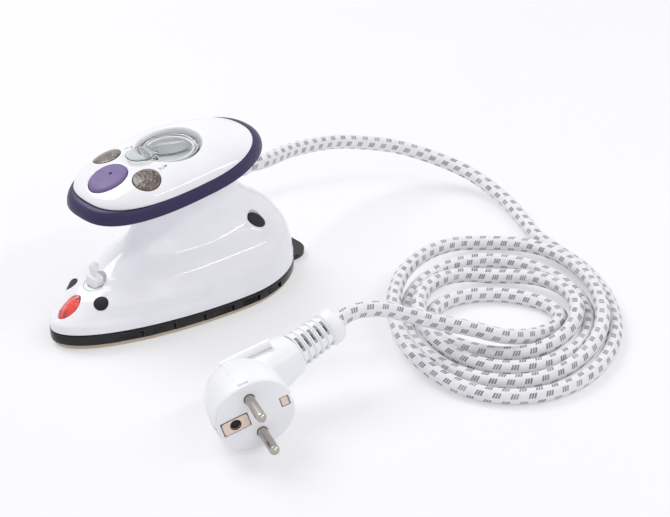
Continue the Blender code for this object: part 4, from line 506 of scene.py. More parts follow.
def painted_facet_lens(name, rgb, facet_mm, darkest_reflection, brightest_reflection, ior, gloss):
    """Dyed lens over small facets with painted reflections: each facet gets its own painted tone,
    from dark to bright, under one smooth gloss.
    """
    material, tree, surface = new_material(name)
    where = add_node(tree, "ShaderNodeTexCoord").outputs["Object"]
    cells = add_node(tree, "ShaderNodeTexVoronoi", {"Scale": 1 / (facet_mm * MM),
                                                    "Randomness": 0.8}, Vector=where)
    # Painted reflection: the tone of each facet stands for the light that its facet would throw back
    tone = add_node(tree, "ShaderNodeSeparateColor", Color=cells.outputs["Color"])
    tree.links.new(ramp(tree, tone.outputs["Red"], (
        (0.1, shade(rgb, darkest_reflection)), (0.5, rgb), (0.72, shade(rgb, 1.25)),
        (0.95, shade(rgb, brightest_reflection)))), surface.inputs["Base Color"])
    edge = add_node(tree, "ShaderNodeTexVoronoi", {"feature": "DISTANCE_TO_EDGE",
                                                   "Scale": 1 / (facet_mm * MM),
                                                   "Randomness": 0.8}, Vector=where)
    bump = add_node(tree, "ShaderNodeBump", {"Strength": 1.0, "Distance": 0.5 * MM},
                    Height=edge.outputs["Distance"])
    tree.links.new(bump.outputs["Normal"], surface.inputs["Normal"])
    surface.inputs["Roughness"].default_value = 0.22
    surface.inputs["IOR"].default_value = ior
    surface.inputs["Coat Weight"].default_value = gloss
    surface.inputs["Coat Roughness"].default_value = 0.03
    return material


FINISHES = {}


def finishes():
    """All materials of the iron, made once from the colours in the settings."""
    if FINISHES:
        return FINISHES
    c = bpy.context.scene.iron_colours
    cord = bpy.context.scene.iron_cord
    FINISHES.update({
        # ABS, injection moulded in a polished mould: smooth, with a clean wide highlight
        "shell": moulded("White ABS, polished mould", tuple(c.shell), 0.11, 1.6, 0.001),
        # Polypropylene with a soft grip, moulded in a fine spark-eroded mould: satin
        "band": moulded("Purple soft-grip PP, eroded mould", tuple(c.band), 0.36, 0.5, 0.008,
                        wear=0.16, gloss=0.35),
        # ABS from a matt mould: no clear highlight, a fine even grain
        "button": moulded("Lilac ABS, matt mould", tuple(c.button), 0.55, 0.4, 0.012, wear=0.1),
        "caps": moulded("Dark ABS cap, satin mould", tuple(c.caps), 0.5, 0.5, 0.006, gloss=0.3),
        # Glass-filled PBT that stands the heat of the plate: black, a little grey where it shines
        "skirt": moulded("Black PBT, satin mould", tuple(c.skirt), 0.14, 0.45, 0.002, wear=0.2,
                         gloss=0.4),
        # Cast aluminium with a baked ceramic coat: warm, fine speckle, dull shine
        "plate": moulded("Ceramic-coated aluminium", tuple(c.plate), 0.36, 0.3, 0.01, wear=0.14),
        "plug": moulded("White PVC, moulded on", tuple(c.plug), 0.34, 0.9, 0.008, wear=0.04,
                        subsurface=0.15),
        "gland": moulded("White PVC sleeve", tuple(c.plug), 0.4, 0.8, 0.008, subsurface=0.15),
        "stopper": moulded("Frosted PP", shade(tuple(c.plug), 0.92), 0.3, 0.8, 0.006,
                           subsurface=0.6),
        "braid": braid("Braided cotton sleeve", tuple(c.braid), tuple(c.dash), cord.dash / MM,
                       cord.radius),
        # PMMA lens, moulded with facets and dyed red: bright red, its facets painted lighter and
        # darker as painted reflections, with sharp white glints from its gloss
        "lamp": painted_facet_lens("Red PMMA lens", tuple(c.lamp), 2.2, 0.5, 1.9, 1.49, 1.0),
        # Polycarbonate, dyed brown over a mirror of small facets: bronze with a painted mottle of
        # facet reflections, under a clear gloss
        "smoked": painted_facet_lens("Smoked polycarbonate", tuple(c.smoked), 2.0, 0.1, 1.7, 1.58, 0.5),
        # Tinted polycarbonate, polished: pale grey, darker where it is thick
        "leaf": clear_plastic("Grey polycarbonate", linear("#D0D6D6"), 0.1, 0.5),
        "dial": clear_plastic("Clear polycarbonate", tuple(c.dial), 0.05, 1.0),
        "tank": clear_plastic("Clear SAN tank", linear("#E4EAEC"), 0.1, 0.9),
        "nickel": metal("Nickel-plated brass, polished", linear("#B4AEA8"), 0.13, 0.5, 0.001),
        "copper": metal("Phosphor bronze, stamped", linear("#E2CFC0"), 0.3, 0.3, 0.003,
                        (1.0, 6.0, 1.0)),
        "steel": metal("Steel, zinc-plated", linear("#B9BABD"), 0.3, 0.4, 0.002),
        "brass": metal("Brass, turned", linear("#C8A35E"), 0.28, 0.3, 0.002, (1.0, 1.0, 8.0)),
        "board": moulded("Fibreglass board, lacquered", linear("#2F6B3C"), 0.35, 0.6, 0.01),
        "mica": moulded("Mica-filled resin", linear("#B8AD98"), 0.6, 0.7, 0.03, wear=0.2),
        "inner_white": moulded("White PBT, plain mould", linear("#E6E6E8"), 0.45, 0.7, 0.01),
        "inner_black": moulded("Black POM, plain mould", linear("#26262A"), 0.4, 0.5, 0.008),
        # Painted shade: near-black plastic put in hollows where only shade falls
        "hole": moulded("Dark recess", linear("#141416"), 0.7, 0.5, 0.01),
        "ink": moulded("Pad-printed ink", linear("#37383E"), 0.5, 0.3, 0.002),
        "ink_pale": moulded("Pad-printed ink, thin", linear("#A9B0B4"), 0.5, 0.3, 0.002),
    })
    return FINISHES


# Forms of the hull and handle

# Height, half width, place of the widest point, nose, heel, and the powers of the curves
HULL_SHARES = (
    (0.000, 1.000, 1.000, 1.000, 1.000, 1.85, 1.6, 2.0),
    (0.031, 0.997, 1.000, 0.994, 0.999, 1.85, 1.6, 2.0),
    (0.072, 0.987, 1.000, 0.960, 0.993, 1.85, 1.6, 2.0),
    (0.149, 0.963, 1.000, 0.869, 0.975, 2.0, 1.8, 2.1),
    (0.230, 0.928, 0.955, 0.785, 0.955, 2.2, 2.0, 2.2),
    (0.294, 0.893, 0.910, 0.677, 0.936, 2.2, 2.0, 2.3),
    (0.362, 0.850, 0.864, 0.602, 0.915, 2.1, 2.0, 2.3),
    (0.392, 0.815, 0.850, 0.566, 0.905, 2.0, 1.95, 2.2),
    (0.420, 0.765, 0.800, 0.533, 0.895, 2.0, 1.9, 2.1),
    (0.449, 0.695, 0.730, 0.495, 0.885, 1.9, 1.9, 2.0),
    (0.493, 0.585, 0.600, 0.445, 0.862, 1.9, 1.85, 1.95),
    (0.550, 0.522, 0.450, 0.400, 0.820, 1.85, 1.85, 2.0),
    (0.620, 0.480, 0.340, 0.358, 0.752, 1.8, 1.8, 2.1),
    (0.705, 0.455, 0.260, 0.322, 0.655, 1.8, 1.8, 2.2),
    (0.816, 0.444, 0.182, 0.312, 0.560, 1.8, 1.8, 2.0),
    (0.923, 0.465, 0.182, 0.330, 0.520, 1.9, 1.9, 2.0),
    (1.000, 0.524, 0.182, 0.378, 0.534, 2.0, 2.0, 2.0),
)
HULL_ROWS = 64
LEAN_START = 0.7
PILOT_PLACE = Matrix.Translation((0, -66.0 * MM, 18.1 * MM)) @ Matrix.Rotation(41 * DEG, 4, "X")
FILLER_Y = -50.5 * MM
FILLER_TOP = 25.2 * MM
DIAL_Y = -0.5 * MM
BUTTON_Y = -38.0 * MM
LENS_PLACE = Vector((16.0 * MM, -26.7 * MM, 0.0))
FRONT_CAP = Vector((12.6 * MM, -56.3 * MM, 22.7 * MM))
FRONT_CAP_FACING = Vector((0.42, -0.40, 0.81))
REAR_CAP = Vector((18.3 * MM, 37.4 * MM, 36.5 * MM))
REAR_CAP_FACING = Vector((0.4, 0.26, 0.88))
CORD_EXIT = Vector((0.0, 35.6 * MM, 58.8 * MM))
CORD_PITCH = 8 * DEG


def at_angle(place, facing):
    """Frame at a place whose Z looks along the facing."""
    return Matrix.Translation(place) @ facing.to_track_quat("Z", "Y").to_matrix().to_4x4()


def handle_place():
    h = bpy.context.scene.iron_handle
    return Matrix.Translation((0, 0, h.rise)) @ Matrix.Rotation(h.tilt, 4, "X")


def inner_rings(rings, wall):
    """The same rings moved inwards by the wall, square to the skin between them."""
    inner = []
    for k, ring in enumerate(rings):
        below, above = rings[max(k - 1, 0)], rings[min(k + 1, len(rings) - 1)]
        moved = []
        for i, point in enumerate(ring):
            around = ring[(i + 1) % len(ring)] - ring[i - 1]
            outward = around.cross(above[i] - below[i]).normalized()
            if k in (0, len(rings) - 1):
                outward = Vector((outward.x, outward.y, 0.0)).normalized()
            moved.append(point - outward * wall)
        inner.append(moved)
    return inner


def hull_rings(rows):
    """Outer rings of the hull and neck. Its top leans with the handle."""
    s = bpy.context.scene.iron_hull
    tilt = bpy.context.scene.iron_handle.tilt
    rings = []
    for share, width, widest, nose, heel, across, along, rear in rows:
        ring = outline(s.half_width * width, s.nose * nose, s.heel * heel, s.widest * widest,
                       (across, along), (rear, rear))
        lean = max(share - LEAN_START, 0) / (1 - LEAN_START)
        for point in ring:
            point.z = s.bottom + s.height * share + lean * math.tan(tilt) * point.y
        rings.append(ring)
    return rings


def sole_ring(outset, z):
    s = bpy.context.scene.iron_hull
    ring = outline(s.sole_half_width, s.sole_nose, s.sole_heel, s.widest, (1.85, 1.6))
    return offset(ring, outset, z)


def rim_ring(share, z):
    """Outline of the purple band: 0 at its lower edge, 1 at its upper edge."""
    h = bpy.context.scene.iron_handle
    out = 1 - share
    return outline(h.half_width + 1.0 * MM * out, h.front + 4.8 * MM * out,
                   h.rear + 6.0 * MM * out, 2.0 * MM, (2.7, 2.7), (2.25, 2.25), z)


def swept(rings, shares=None):
    """The rings with their rear lifted, as the handle sweeps up there."""
    h = bpy.context.scene.iron_handle
    lifted = []
    for i, ring in enumerate(rings):
        sweep = h.sweep * (1 if shares is None else shares[i])
        lifted.append([Vector((p.x, p.y, p.z + sweep * (max(p.y, 0.0) / h.rear) ** 2))
                       for p in ring])
    return lifted


def crown_rise(share, y):
    """Rise of the crown at a share of its outline. Its rear runs out flatter than its front."""
    h = bpy.context.scene.iron_handle
    rear = min(max(y / h.rear, 0.0), 1.0)
    flat = 0.5 + 0.4 * rear * rear * (3 - 2 * rear)
    return h.crown * max(1 - share**2, 0.0) ** flat


def crown_rings(lift=0.0, inset=0.0, steps=28):
    """Rings of the domed crown, from its rim up to the top."""
    h = bpy.context.scene.iron_handle
    base = offset(rim_ring(1, 0.0), -inset)
    centre = Vector((0.0, 3.7 * MM, 0.0))
    rings = []
    for i in range(steps):
        turn = math.pi / 2 * (i / steps)
        share = math.cos(turn)
        ring = [centre + (p - centre) * share for p in base]
        for point in ring:
            point.z = h.band_height + GAP + lift + crown_rise(share, point.y)
        rings.append(ring)
    return swept(rings)


def crown_height(x, y):
    """Height of the crown's surface in the handle's frame."""
    h = bpy.context.scene.iron_handle
    low, high = 0.0, 1.5
    for _ in range(30):
        share = (low + high) / 2
        px, py = x / share, 3.7 * MM + (y - 3.7 * MM) / share
        reach, p = (h.rear - 2.0 * MM, 2.25) if py > 2.0 * MM else (h.front + 2.0 * MM, 2.7)
        if abs(px / h.half_width) ** p + abs((py - 2.0 * MM) / reach) ** p > 1:
            low = share
        else:
            high = share
    return h.band_height + GAP + crown_rise(share, y) + h.sweep * (max(y, 0.0) / h.rear) ** 2


def over_crown(centre, half_width, half_length, profile, sides=FINE_SIDES, squareness=2.0):
    """Rings round a place on the crown. Each (outset, height) row follows its surface, and a
    height given as ('flat', z) stays level."""
    rings = []
    for outset, height in profile:
        ring = []
        for i in range(sides):
            turn = math.tau * i / sides
            x = centre.x + max(half_width + outset, 1e-6) * power(math.cos(turn), 2 / squareness)
            y = centre.y + max(half_length + outset, 1e-6) * power(math.sin(turn), 2 / squareness)
            level = isinstance(height, tuple)
            ring.append(Vector((x, y, height[1] if level else crown_height(x, y) + height)))
        rings.append(ring)
    return rings


class IRON_OT_hull(bpy.types.Operator):
    """White hull and neck with its openings and the raised rings round the rear caps"""

    bl_idname = "iron.hull"
    bl_label = "Hull and neck"

    def execute(self, context):
        s, look = context.scene.iron_hull, finishes()
        rows = smooth_table(HULL_SHARES, HULL_ROWS)
        outer = hull_rings(rows)
        plain = inner_rings(hull_rings(HULL_SHARES), s.wall)
        inside = [ring for i, ring in enumerate(plain) if i not in (1, 2, 4, 7, 9, 11, 15)]
        foot = 8.5 * MM
        lip = [offset(outer[0], -0.4 * MM, foot), offset(outer[0], 0.0, foot + 0.35 * MM)]
        shell = loft("hull_shell", [*lip, *outer])
        below = [offset(inside[0], 0.0, foot - OVERRUN)]
        above = [[p + Vector((0, 0, OVERRUN)) for p in inside[-1]]]
        cut(shell, loft("hollow_tool", [*below, *inside, *above]))
        for side in (-1, 1):
            place = Vector((side * REAR_CAP.x, REAR_CAP.y, REAR_CAP.z))
            facing = Vector((side * REAR_CAP_FACING.x, REAR_CAP_FACING.y, REAR_CAP_FACING.z))
            seat = at_angle(place, facing)
            ring = [(9.6, -5.0), (9.4, -3.4), (8.7, -2.1), (7.7, -1.1), (6.7, -0.4), (5.9, -0.05),
                    (5.3, 0.05), (0.0, 0.05)]
            fuse(shell, turned("ring_tool", [(r * MM, z * MM) for r, z in ring], seat))
            well = [(0.0, -1.4), (5.05, -1.4), (5.05, 0.05), (5.35, 0.6), (5.35, 6.0), (0.0, 6.0)]
            cut(shell, turned("well_tool", [(r * MM, z * MM) for r, z in well], seat))
            place = Vector((side * FRONT_CAP.x, FRONT_CAP.y, FRONT_CAP.z))
            facing = Vector((side * FRONT_CAP_FACING.x, FRONT_CAP_FACING.y, FRONT_CAP_FACING.z))
            cut(shell, rods("front_well_tool", [(0.0, 0.0)], 3.75 * MM, -1.5 * MM, 6 * MM,
                            at_angle(place, facing)))
        boss = rods("cup_boss_tool", [(0.0, FILLER_Y)], 7.6 * MM, 21.0 * MM, 50 * MM)
        inside_skin = loft("boss_limit", inner_rings(outer, 1.0 * MM))
        fuse(shell, keep_inside(boss, inside_skin))
        pocket = [(0.0, 20.5), (5.9, 20.5), (5.9, 60.0), (0.0, 60.0)]
        cut(shell, turned("pocket_tool", [(r * MM, z * MM) for r, z in pocket],
                          Matrix.Translation((0, FILLER_Y, 0))))
        ring = outline(4.5 * MM, 7.6 * MM, 7.6 * MM, 0.0, points=FINE_SIDES)
        cut(shell, loft("pilot_tool", [[Vector((p.x, p.y, z)) for p in ring]
                                       for z in (-4.8 * MM, 4.4 * MM)], PILOT_PLACE))
        out = at_angle(CORD_EXIT, Vector((0, math.cos(CORD_PITCH), -math.sin(CORD_PITCH))))
        cut(shell, rods("exit_tool", [(0.0, 0.0)], 4.7 * MM, -6.2 * MM, 11 * MM, out))
        cut(shell, rods("exit_face_tool", [(0.0, 0.0)], 5.5 * MM, 1.9 * MM, 11 * MM, out))
        finish_piece(shell, "iron", look["shell"], ("body_shell",))
        return {"FINISHED"}


class IRON_OT_caps(bpy.types.Operator):
    """Four dark caps over the case screws, flush in the hull"""

    bl_idname = "iron.caps"
    bl_label = "Screw caps"

    def execute(self, context):
        look = finishes()
        for name, side in (("left", -1), ("right", 1)):
            place = Vector((side * FRONT_CAP.x, FRONT_CAP.y, FRONT_CAP.z))
            facing = Vector((side * FRONT_CAP_FACING.x, FRONT_CAP_FACING.y, FRONT_CAP_FACING.z))
            front = rods(f"cap_front_{name}", [(0.0, 0.0)], 3.6 * MM, -1.3 * MM, 5 * MM,
                         at_angle(place, facing))
            skin = hull_rings(smooth_table(HULL_SHARES, HULL_ROWS))
            keep_inside(front, loft("cap_limit", [
                [p + Vector((0, 0, 0.2 * MM)) for p in ring] for ring in skin]))
            finish_piece(front, "iron", look["caps"], (f"screw_plug_front_{name}",))
            place = Vector((side * REAR_CAP.x, REAR_CAP.y, REAR_CAP.z))
            facing = Vector((side * REAR_CAP_FACING.x, REAR_CAP_FACING.y, REAR_CAP_FACING.z))
            profile = [(0.0, -1.2), (4.85, -1.2), (4.85, 0.15), (5.1, 0.2), (5.15, 0.35),
                       (4.95, 0.6), (4.5, 0.72), (3.0, 0.8), (1.5, 0.84), (0.0, 0.85)]
            rear = turned(f"cap_rear_{name}", [(r * MM, z * MM) for r, z in profile],
                          at_angle(place, facing))
            finish_piece(rear, "iron", look["caps"], (f"screw_plug_rear_{name}",))
        return {"FINISHED"}


class IRON_OT_sole(bpy.types.Operator):
    """Coated plate with its steam holes, and the black skirt with notches and heel tab"""

    bl_idname = "iron.sole"
    bl_label = "Plate and skirt"

    def execute(self, context):
        s, look = context.scene.iron_hull, finishes()
        rows = ((-0.8, 0.0), (0.0, 0.0), (0.35, 0.12), (0.6, 0.4), (0.7, 0.8), (0.7, 2.1),
                (0.6, 2.4), (0.3, 2.6), (-1.2, 2.6), (-1.2, 9.5))
        plate = loft("sole_plate", [sole_ring(out * MM, z * MM) for out, z in rows])
        holes = [(6 * MM * x, -22.5 * MM + 12.5 * MM * y) for x in (-0.62, 0.0, 0.62)
                 for y in (-0.6, 0.0, 0.6)]
        cut(plate, rods("steam_hole_tool", holes, 1.1 * MM, -MM, 6 * MM, sides=SMALL_SIDES))
        chamber = outline(6 * MM, 35 * MM, -10 * MM, -22.5 * MM, points=FINE_SIDES)
        cut(plate, loft("chamber_tool", [[Vector((p.x, p.y, z)) for p in chamber]
                                         for z in (4.8 * MM, 11 * MM)]))
        screws = [(x * side * MM, y * MM) for x, y in ((12.3, -56.3), (17.4, 38.3))
                  for side in (-1, 1)]
        cut(plate, rods("thread_tool", screws, 1.8 * MM, 4.9 * MM, 11 * MM, sides=SMALL_SIDES))
        finish_piece(plate, "iron", look["plate"], ("soleplate",))

        out = s.skirt_outset
        low, high = 2.9 * MM, 8.3 * MM
        rings = [sole_ring(out - 0.5 * MM, low), sole_ring(out - 0.12 * MM, low + 0.15 * MM),
                 sole_ring(out, low + 0.5 * MM), sole_ring(out, high - 0.5 * MM),
                 sole_ring(out - 0.15 * MM, high - 0.15 * MM), sole_ring(out - 0.5 * MM, high),
                 sole_ring(-0.9 * MM, high), sole_ring(-0.9 * MM, low)]
        skirt = loft("skirt_ring", rings, cyclic=True)
        # Long shallow pockets in the lower half, which catch the light
        rows = ((out - 0.2 * MM, low - MM), (out - 1.8 * MM, low + 3.8 * MM),
                (out + 3 * MM, low + 3.8 * MM), (out + 3 * MM, low - MM))
        pockets = loft("pocket_tool", [sole_ring(o, z) for o, z in rows], cyclic=True)
        spans = [((-0.06, s.sole_nose * y - 6.5 * MM, 0.0), (0.06, s.sole_nose * y + 4.5 * MM, 0.02))
                 for y in (-0.62, -0.40, -0.18, 0.04, 0.26, 0.48)]
        cut(skirt, keep_inside(pockets, boxes("span_tool", spans)))
        end = s.sole_heel + 11.2 * MM
        corner = []
        for i in range(13):
            turn = math.pi / 2 * i / 12
            corner.append((16 * MM - 10 * MM * (1 - math.cos(turn)),
                           end - 10 * MM * (1 - math.sin(turn))))
        start = s.sole_heel + out - 6 * MM
        shape = [(-16 * MM, start), (16 * MM, start), *corner,
                 *[(-x, y) for x, y in reversed(corner)]]
        flat = [Vector((x, y, 0)) for x, y in shape]
        levels = ((-0.35, -1.7), (0.0, -1.35), (0.0, 0.75), (-0.35, 1.1))
        tab = loft("tab_tool", [offset(flat, o * MM, low + z * MM) for o, z in levels])
        for inset, bottom, top in ((-0.9 * MM, low - MM, high), (1.1 * MM, 0.0, low - 0.1 * MM)):
            cut(tab, loft("tab_trim", [sole_ring(inset, z) for z in (bottom, top)]))
        fuse(skirt, tab)
        finish_piece(skirt, "iron", look["skirt"], ("heat_shield",))
        return {"FINISHED"}


class IRON_OT_handle(bpy.types.Operator):
    """Purple band, dished underside and the domed crown with its openings"""

    bl_idname = "iron.handle"
    bl_label = "Handle"

    def execute(self, context):
        h, look, place = context.scene.iron_handle, finishes(), handle_place()
        rings = []
        for i in range(19):
            turn = math.pi / 2 * i / 18
            rings.append(rim_ring(1 - math.cos(turn), h.band_height * math.sin(turn)))
        wall = 2.6 * MM
        inner = offset(rings[-1], -wall)
        rings += [inner, [Vector((p.x, p.y, 0.0)) for p in inner]]
        band = loft("handle_band", swept(rings), place, cyclic=True)
        finish_piece(band, "iron", look["band"], ("grip_band",))

        # The dish under the band, with the lip that locates it
        edge = offset(rim_ring(0, -GAP), -GAP)
        low = -7.0 * MM
        collar = outline(19.9 * MM, 29.9 * MM, 37.9 * MM, 4.0 * MM, z=low)
        floor_rows = smooth_table(((0.0, 0.0), (0.12, 0.35), (0.35, 0.68), (0.65, 0.9),
                                   (1.0, 1.0)), 22)
        seat = offset(rim_ring(1, -GAP), -wall - GAP)
        floor_edge = offset(seat, -1.2 * MM)
        inner_collar = outline(17.7 * MM, 27.7 * MM, 35.7 * MM, 4.0 * MM, z=low)
        rings, sweeps = [], []
        for out, rise in floor_rows:
            ring = [c.lerp(e, 1 - (1 - out) ** 1.6) for c, e in zip(collar, edge)]
            for point in ring:
                point.z = low + (edge[0].z - low) * rise**2.4
            rings.append(ring)
            sweeps.append(out)
        lip = 2.2 * MM
        rings += [seat, [Vector((p.x, p.y, lip)) for p in seat],
                  [Vector((p.x, p.y, lip)) for p in floor_edge]]
        sweeps += [1.0] * 3
        for out, rise in reversed(floor_rows):
            ring = [c.lerp(e, out) for c, e in zip(inner_collar, floor_edge)]
            for point in ring:
                point.z = low + 2.2 * MM + (edge[0].z - low) * rise**2.4 * out
            rings.append(ring)
            sweeps.append(out)
        rings.append(inner_collar)
        sweeps.append(0.0)
        under = loft("handle_under", swept(rings, sweeps), place, cyclic=True)
        finish_piece(under, "iron", look["shell"], ("handle_lower_shell",))

        outer, inside = crown_rings(), crown_rings(-2.0 * MM, 2.0 * MM)
        top_seat = offset(rim_ring(1, h.band_height + GAP), -wall - GAP)
        lip_end = h.band_height - 2.2 * MM
        lips = [top_seat, [Vector((p.x, p.y, lip_end)) for p in top_seat],
                [Vector((p.x, p.y, lip_end)) for p in offset(top_seat, -1.2 * MM)],
                offset(top_seat, -1.2 * MM)]
        soft = [offset(outer[0], -0.25 * MM)]
        crown = loft("handle_crown", [*reversed(outer[1:]), *soft, *swept(lips), *inside[6:]],
                     place)
        dial = Vector((0.0, DIAL_Y, 0.0))
        radius = h.dial_radius + 0.5 * MM
        cup = rods("cup_tool", [(0.0, DIAL_Y)], radius + 1.8 * MM, 9.7 * MM, 22 * MM, place)
        keep_inside(cup, loft("cup_limit", crown_rings(-0.2 * MM), place))
        fuse(crown, cup)
        # The recess opens in a soft round edge that follows the crown
        profile = [(0.0, ("flat", 11.1 * MM)), (0.5, -2.6 * MM), (0.7, -1.5 * MM),
                   (1.0, -0.8 * MM), (1.5, -0.32 * MM), (2.2, -0.08 * MM), (3.0, 0.02 * MM),
                   (3.2, 3.0 * MM)]
        recess = over_crown(dial, radius, radius, [(o * MM, z) for o, z in profile], 96)
        cut(crown, loft("recess_tool", recess, place))
        cut(crown, rods("spindle_tool", [(0.0, DIAL_Y)], 2.3 * MM, 8.0 * MM, 12 * MM, place))
        half_width, half_length = h.button_half_width, h.button_half_length
        hole = [(0.3, ("flat", 5.0 * MM)), (0.3, -0.6 * MM), (0.45, -0.2 * MM), (0.75, 0.0),
                (0.85, 3.0 * MM)]
        cut(crown, loft("button_tool", over_crown(
            Vector((0.0, BUTTON_Y, 0.0)), half_width, half_length,
            [(o * MM, z) for o, z in hole]), place))
        for side in (-1, 1):
            centre = Vector((side * LENS_PLACE.x, LENS_PLACE.y, 0.0))
            seat = [(0.0, ("flat", 7.0 * MM)), (0.0, -0.4 * MM), (0.2, -0.05 * MM),
                    (0.35, 3.0 * MM)]
            cut(crown, loft("lens_tool", over_crown(centre, 7.0 * MM, 7.0 * MM,
                                                    [(o * MM, z) for o, z in seat]), place))
        finish_piece(crown, "iron", look["shell"], ("handle_upper_shell",))
        return {"FINISHED"}


class IRON_OT_button(bpy.types.Operator):
    """Matt oval thumb button with a rolled edge and a small dot"""

    bl_idname = "iron.button"
    bl_label = "Thumb button"

    def execute(self, context):
        h, look, place = context.scene.iron_handle, finishes(), handle_place()
        proud = 1.0 * MM
        rows = [(-0.6, ("flat", 8.7 * MM)), (0.0, ("flat", 9.0 * MM)), (0.0, proud - 1.3 * MM),
                (-0.08, proud - 0.75 * MM), (-0.35, proud - 0.3 * MM),
                (-0.8, proud - 0.08 * MM), (-1.5, proud), (-3.0, proud + 0.05 * MM),
                (-5.0, proud + 0.06 * MM), (-7.0, proud + 0.06 * MM), (-8.4, proud + 0.06 * MM)]
        rings = over_crown(Vector((0.0, BUTTON_Y, 0.0)), h.button_half_width,
                           h.button_half_length, [(o * MM, z) for o, z in rows], 96)
        button = loft("thumb_button", rings, place)
        dot_y = -36.2 * MM
        top = crown_height(0.0, dot_y) + proud
        cut(button, rods("dot_tool", [(0.0, dot_y)], 0.9 * MM, top - 0.7 * MM, top + 3 * MM,
                         place, SMALL_SIDES))
        fuse(button, rods("stem_tool", [(0.0, BUTTON_Y)], 1.6 * MM, 4.3 * MM, 10 * MM, place,
                          SMALL_SIDES))
        finish_piece(button, "button", look["button"], ("steam_button",))
        return {"FINISHED"}


class IRON_OT_lenses(bpy.types.Operator):
    """Two smoked lenses in the crown and the red lens in the nose"""

    bl_idname = "iron.lenses"
    bl_label = "Lenses"

    def execute(self, context):
        look, place = finishes(), handle_place()
        for name, side in (("left", -1), ("right", 1)):
            centre = Vector((side * LENS_PLACE.x, LENS_PLACE.y, 0.0))
            rows = [(0.0, ("flat", 10.4 * MM)), (0.0, -0.3 * MM), (-0.1, 0.05 * MM),
                    (-0.4, 0.25 * MM), (-1.5, 0.35 * MM), (-3.5, 0.42 * MM),
                    (-5.5, 0.45 * MM), (-6.6, 0.45 * MM)]
            lens = loft(f"crown_lens_{name}", over_crown(centre, 6.75 * MM, 6.75 * MM,
                                                         [(o * MM, z) for o, z in rows]), place)
            finish_piece(lens, "iron", look["smoked"], (f"indicator_lens_{name}",))
        rings = []
        for across, along, z in ((4.3, 7.4, -2.6), (4.3, 7.4, 0.3), (4.1, 7.2, 0.6),
                                 (3.7, 6.8, 0.75), (0.9, 4.2, 1.75), (0.5, 3.6, 1.85)):
            ring = outline(across * MM, along * MM, along * MM, 0.0, points=16, z=z * MM)
            rings.append(ring)
        lamp = loft("nose_lens", rings, PILOT_PLACE, smooth=8 * DEG)
        finish_piece(lamp, "iron", look["lamp"], ("pilot_lens",))
        return {"FINISHED"}


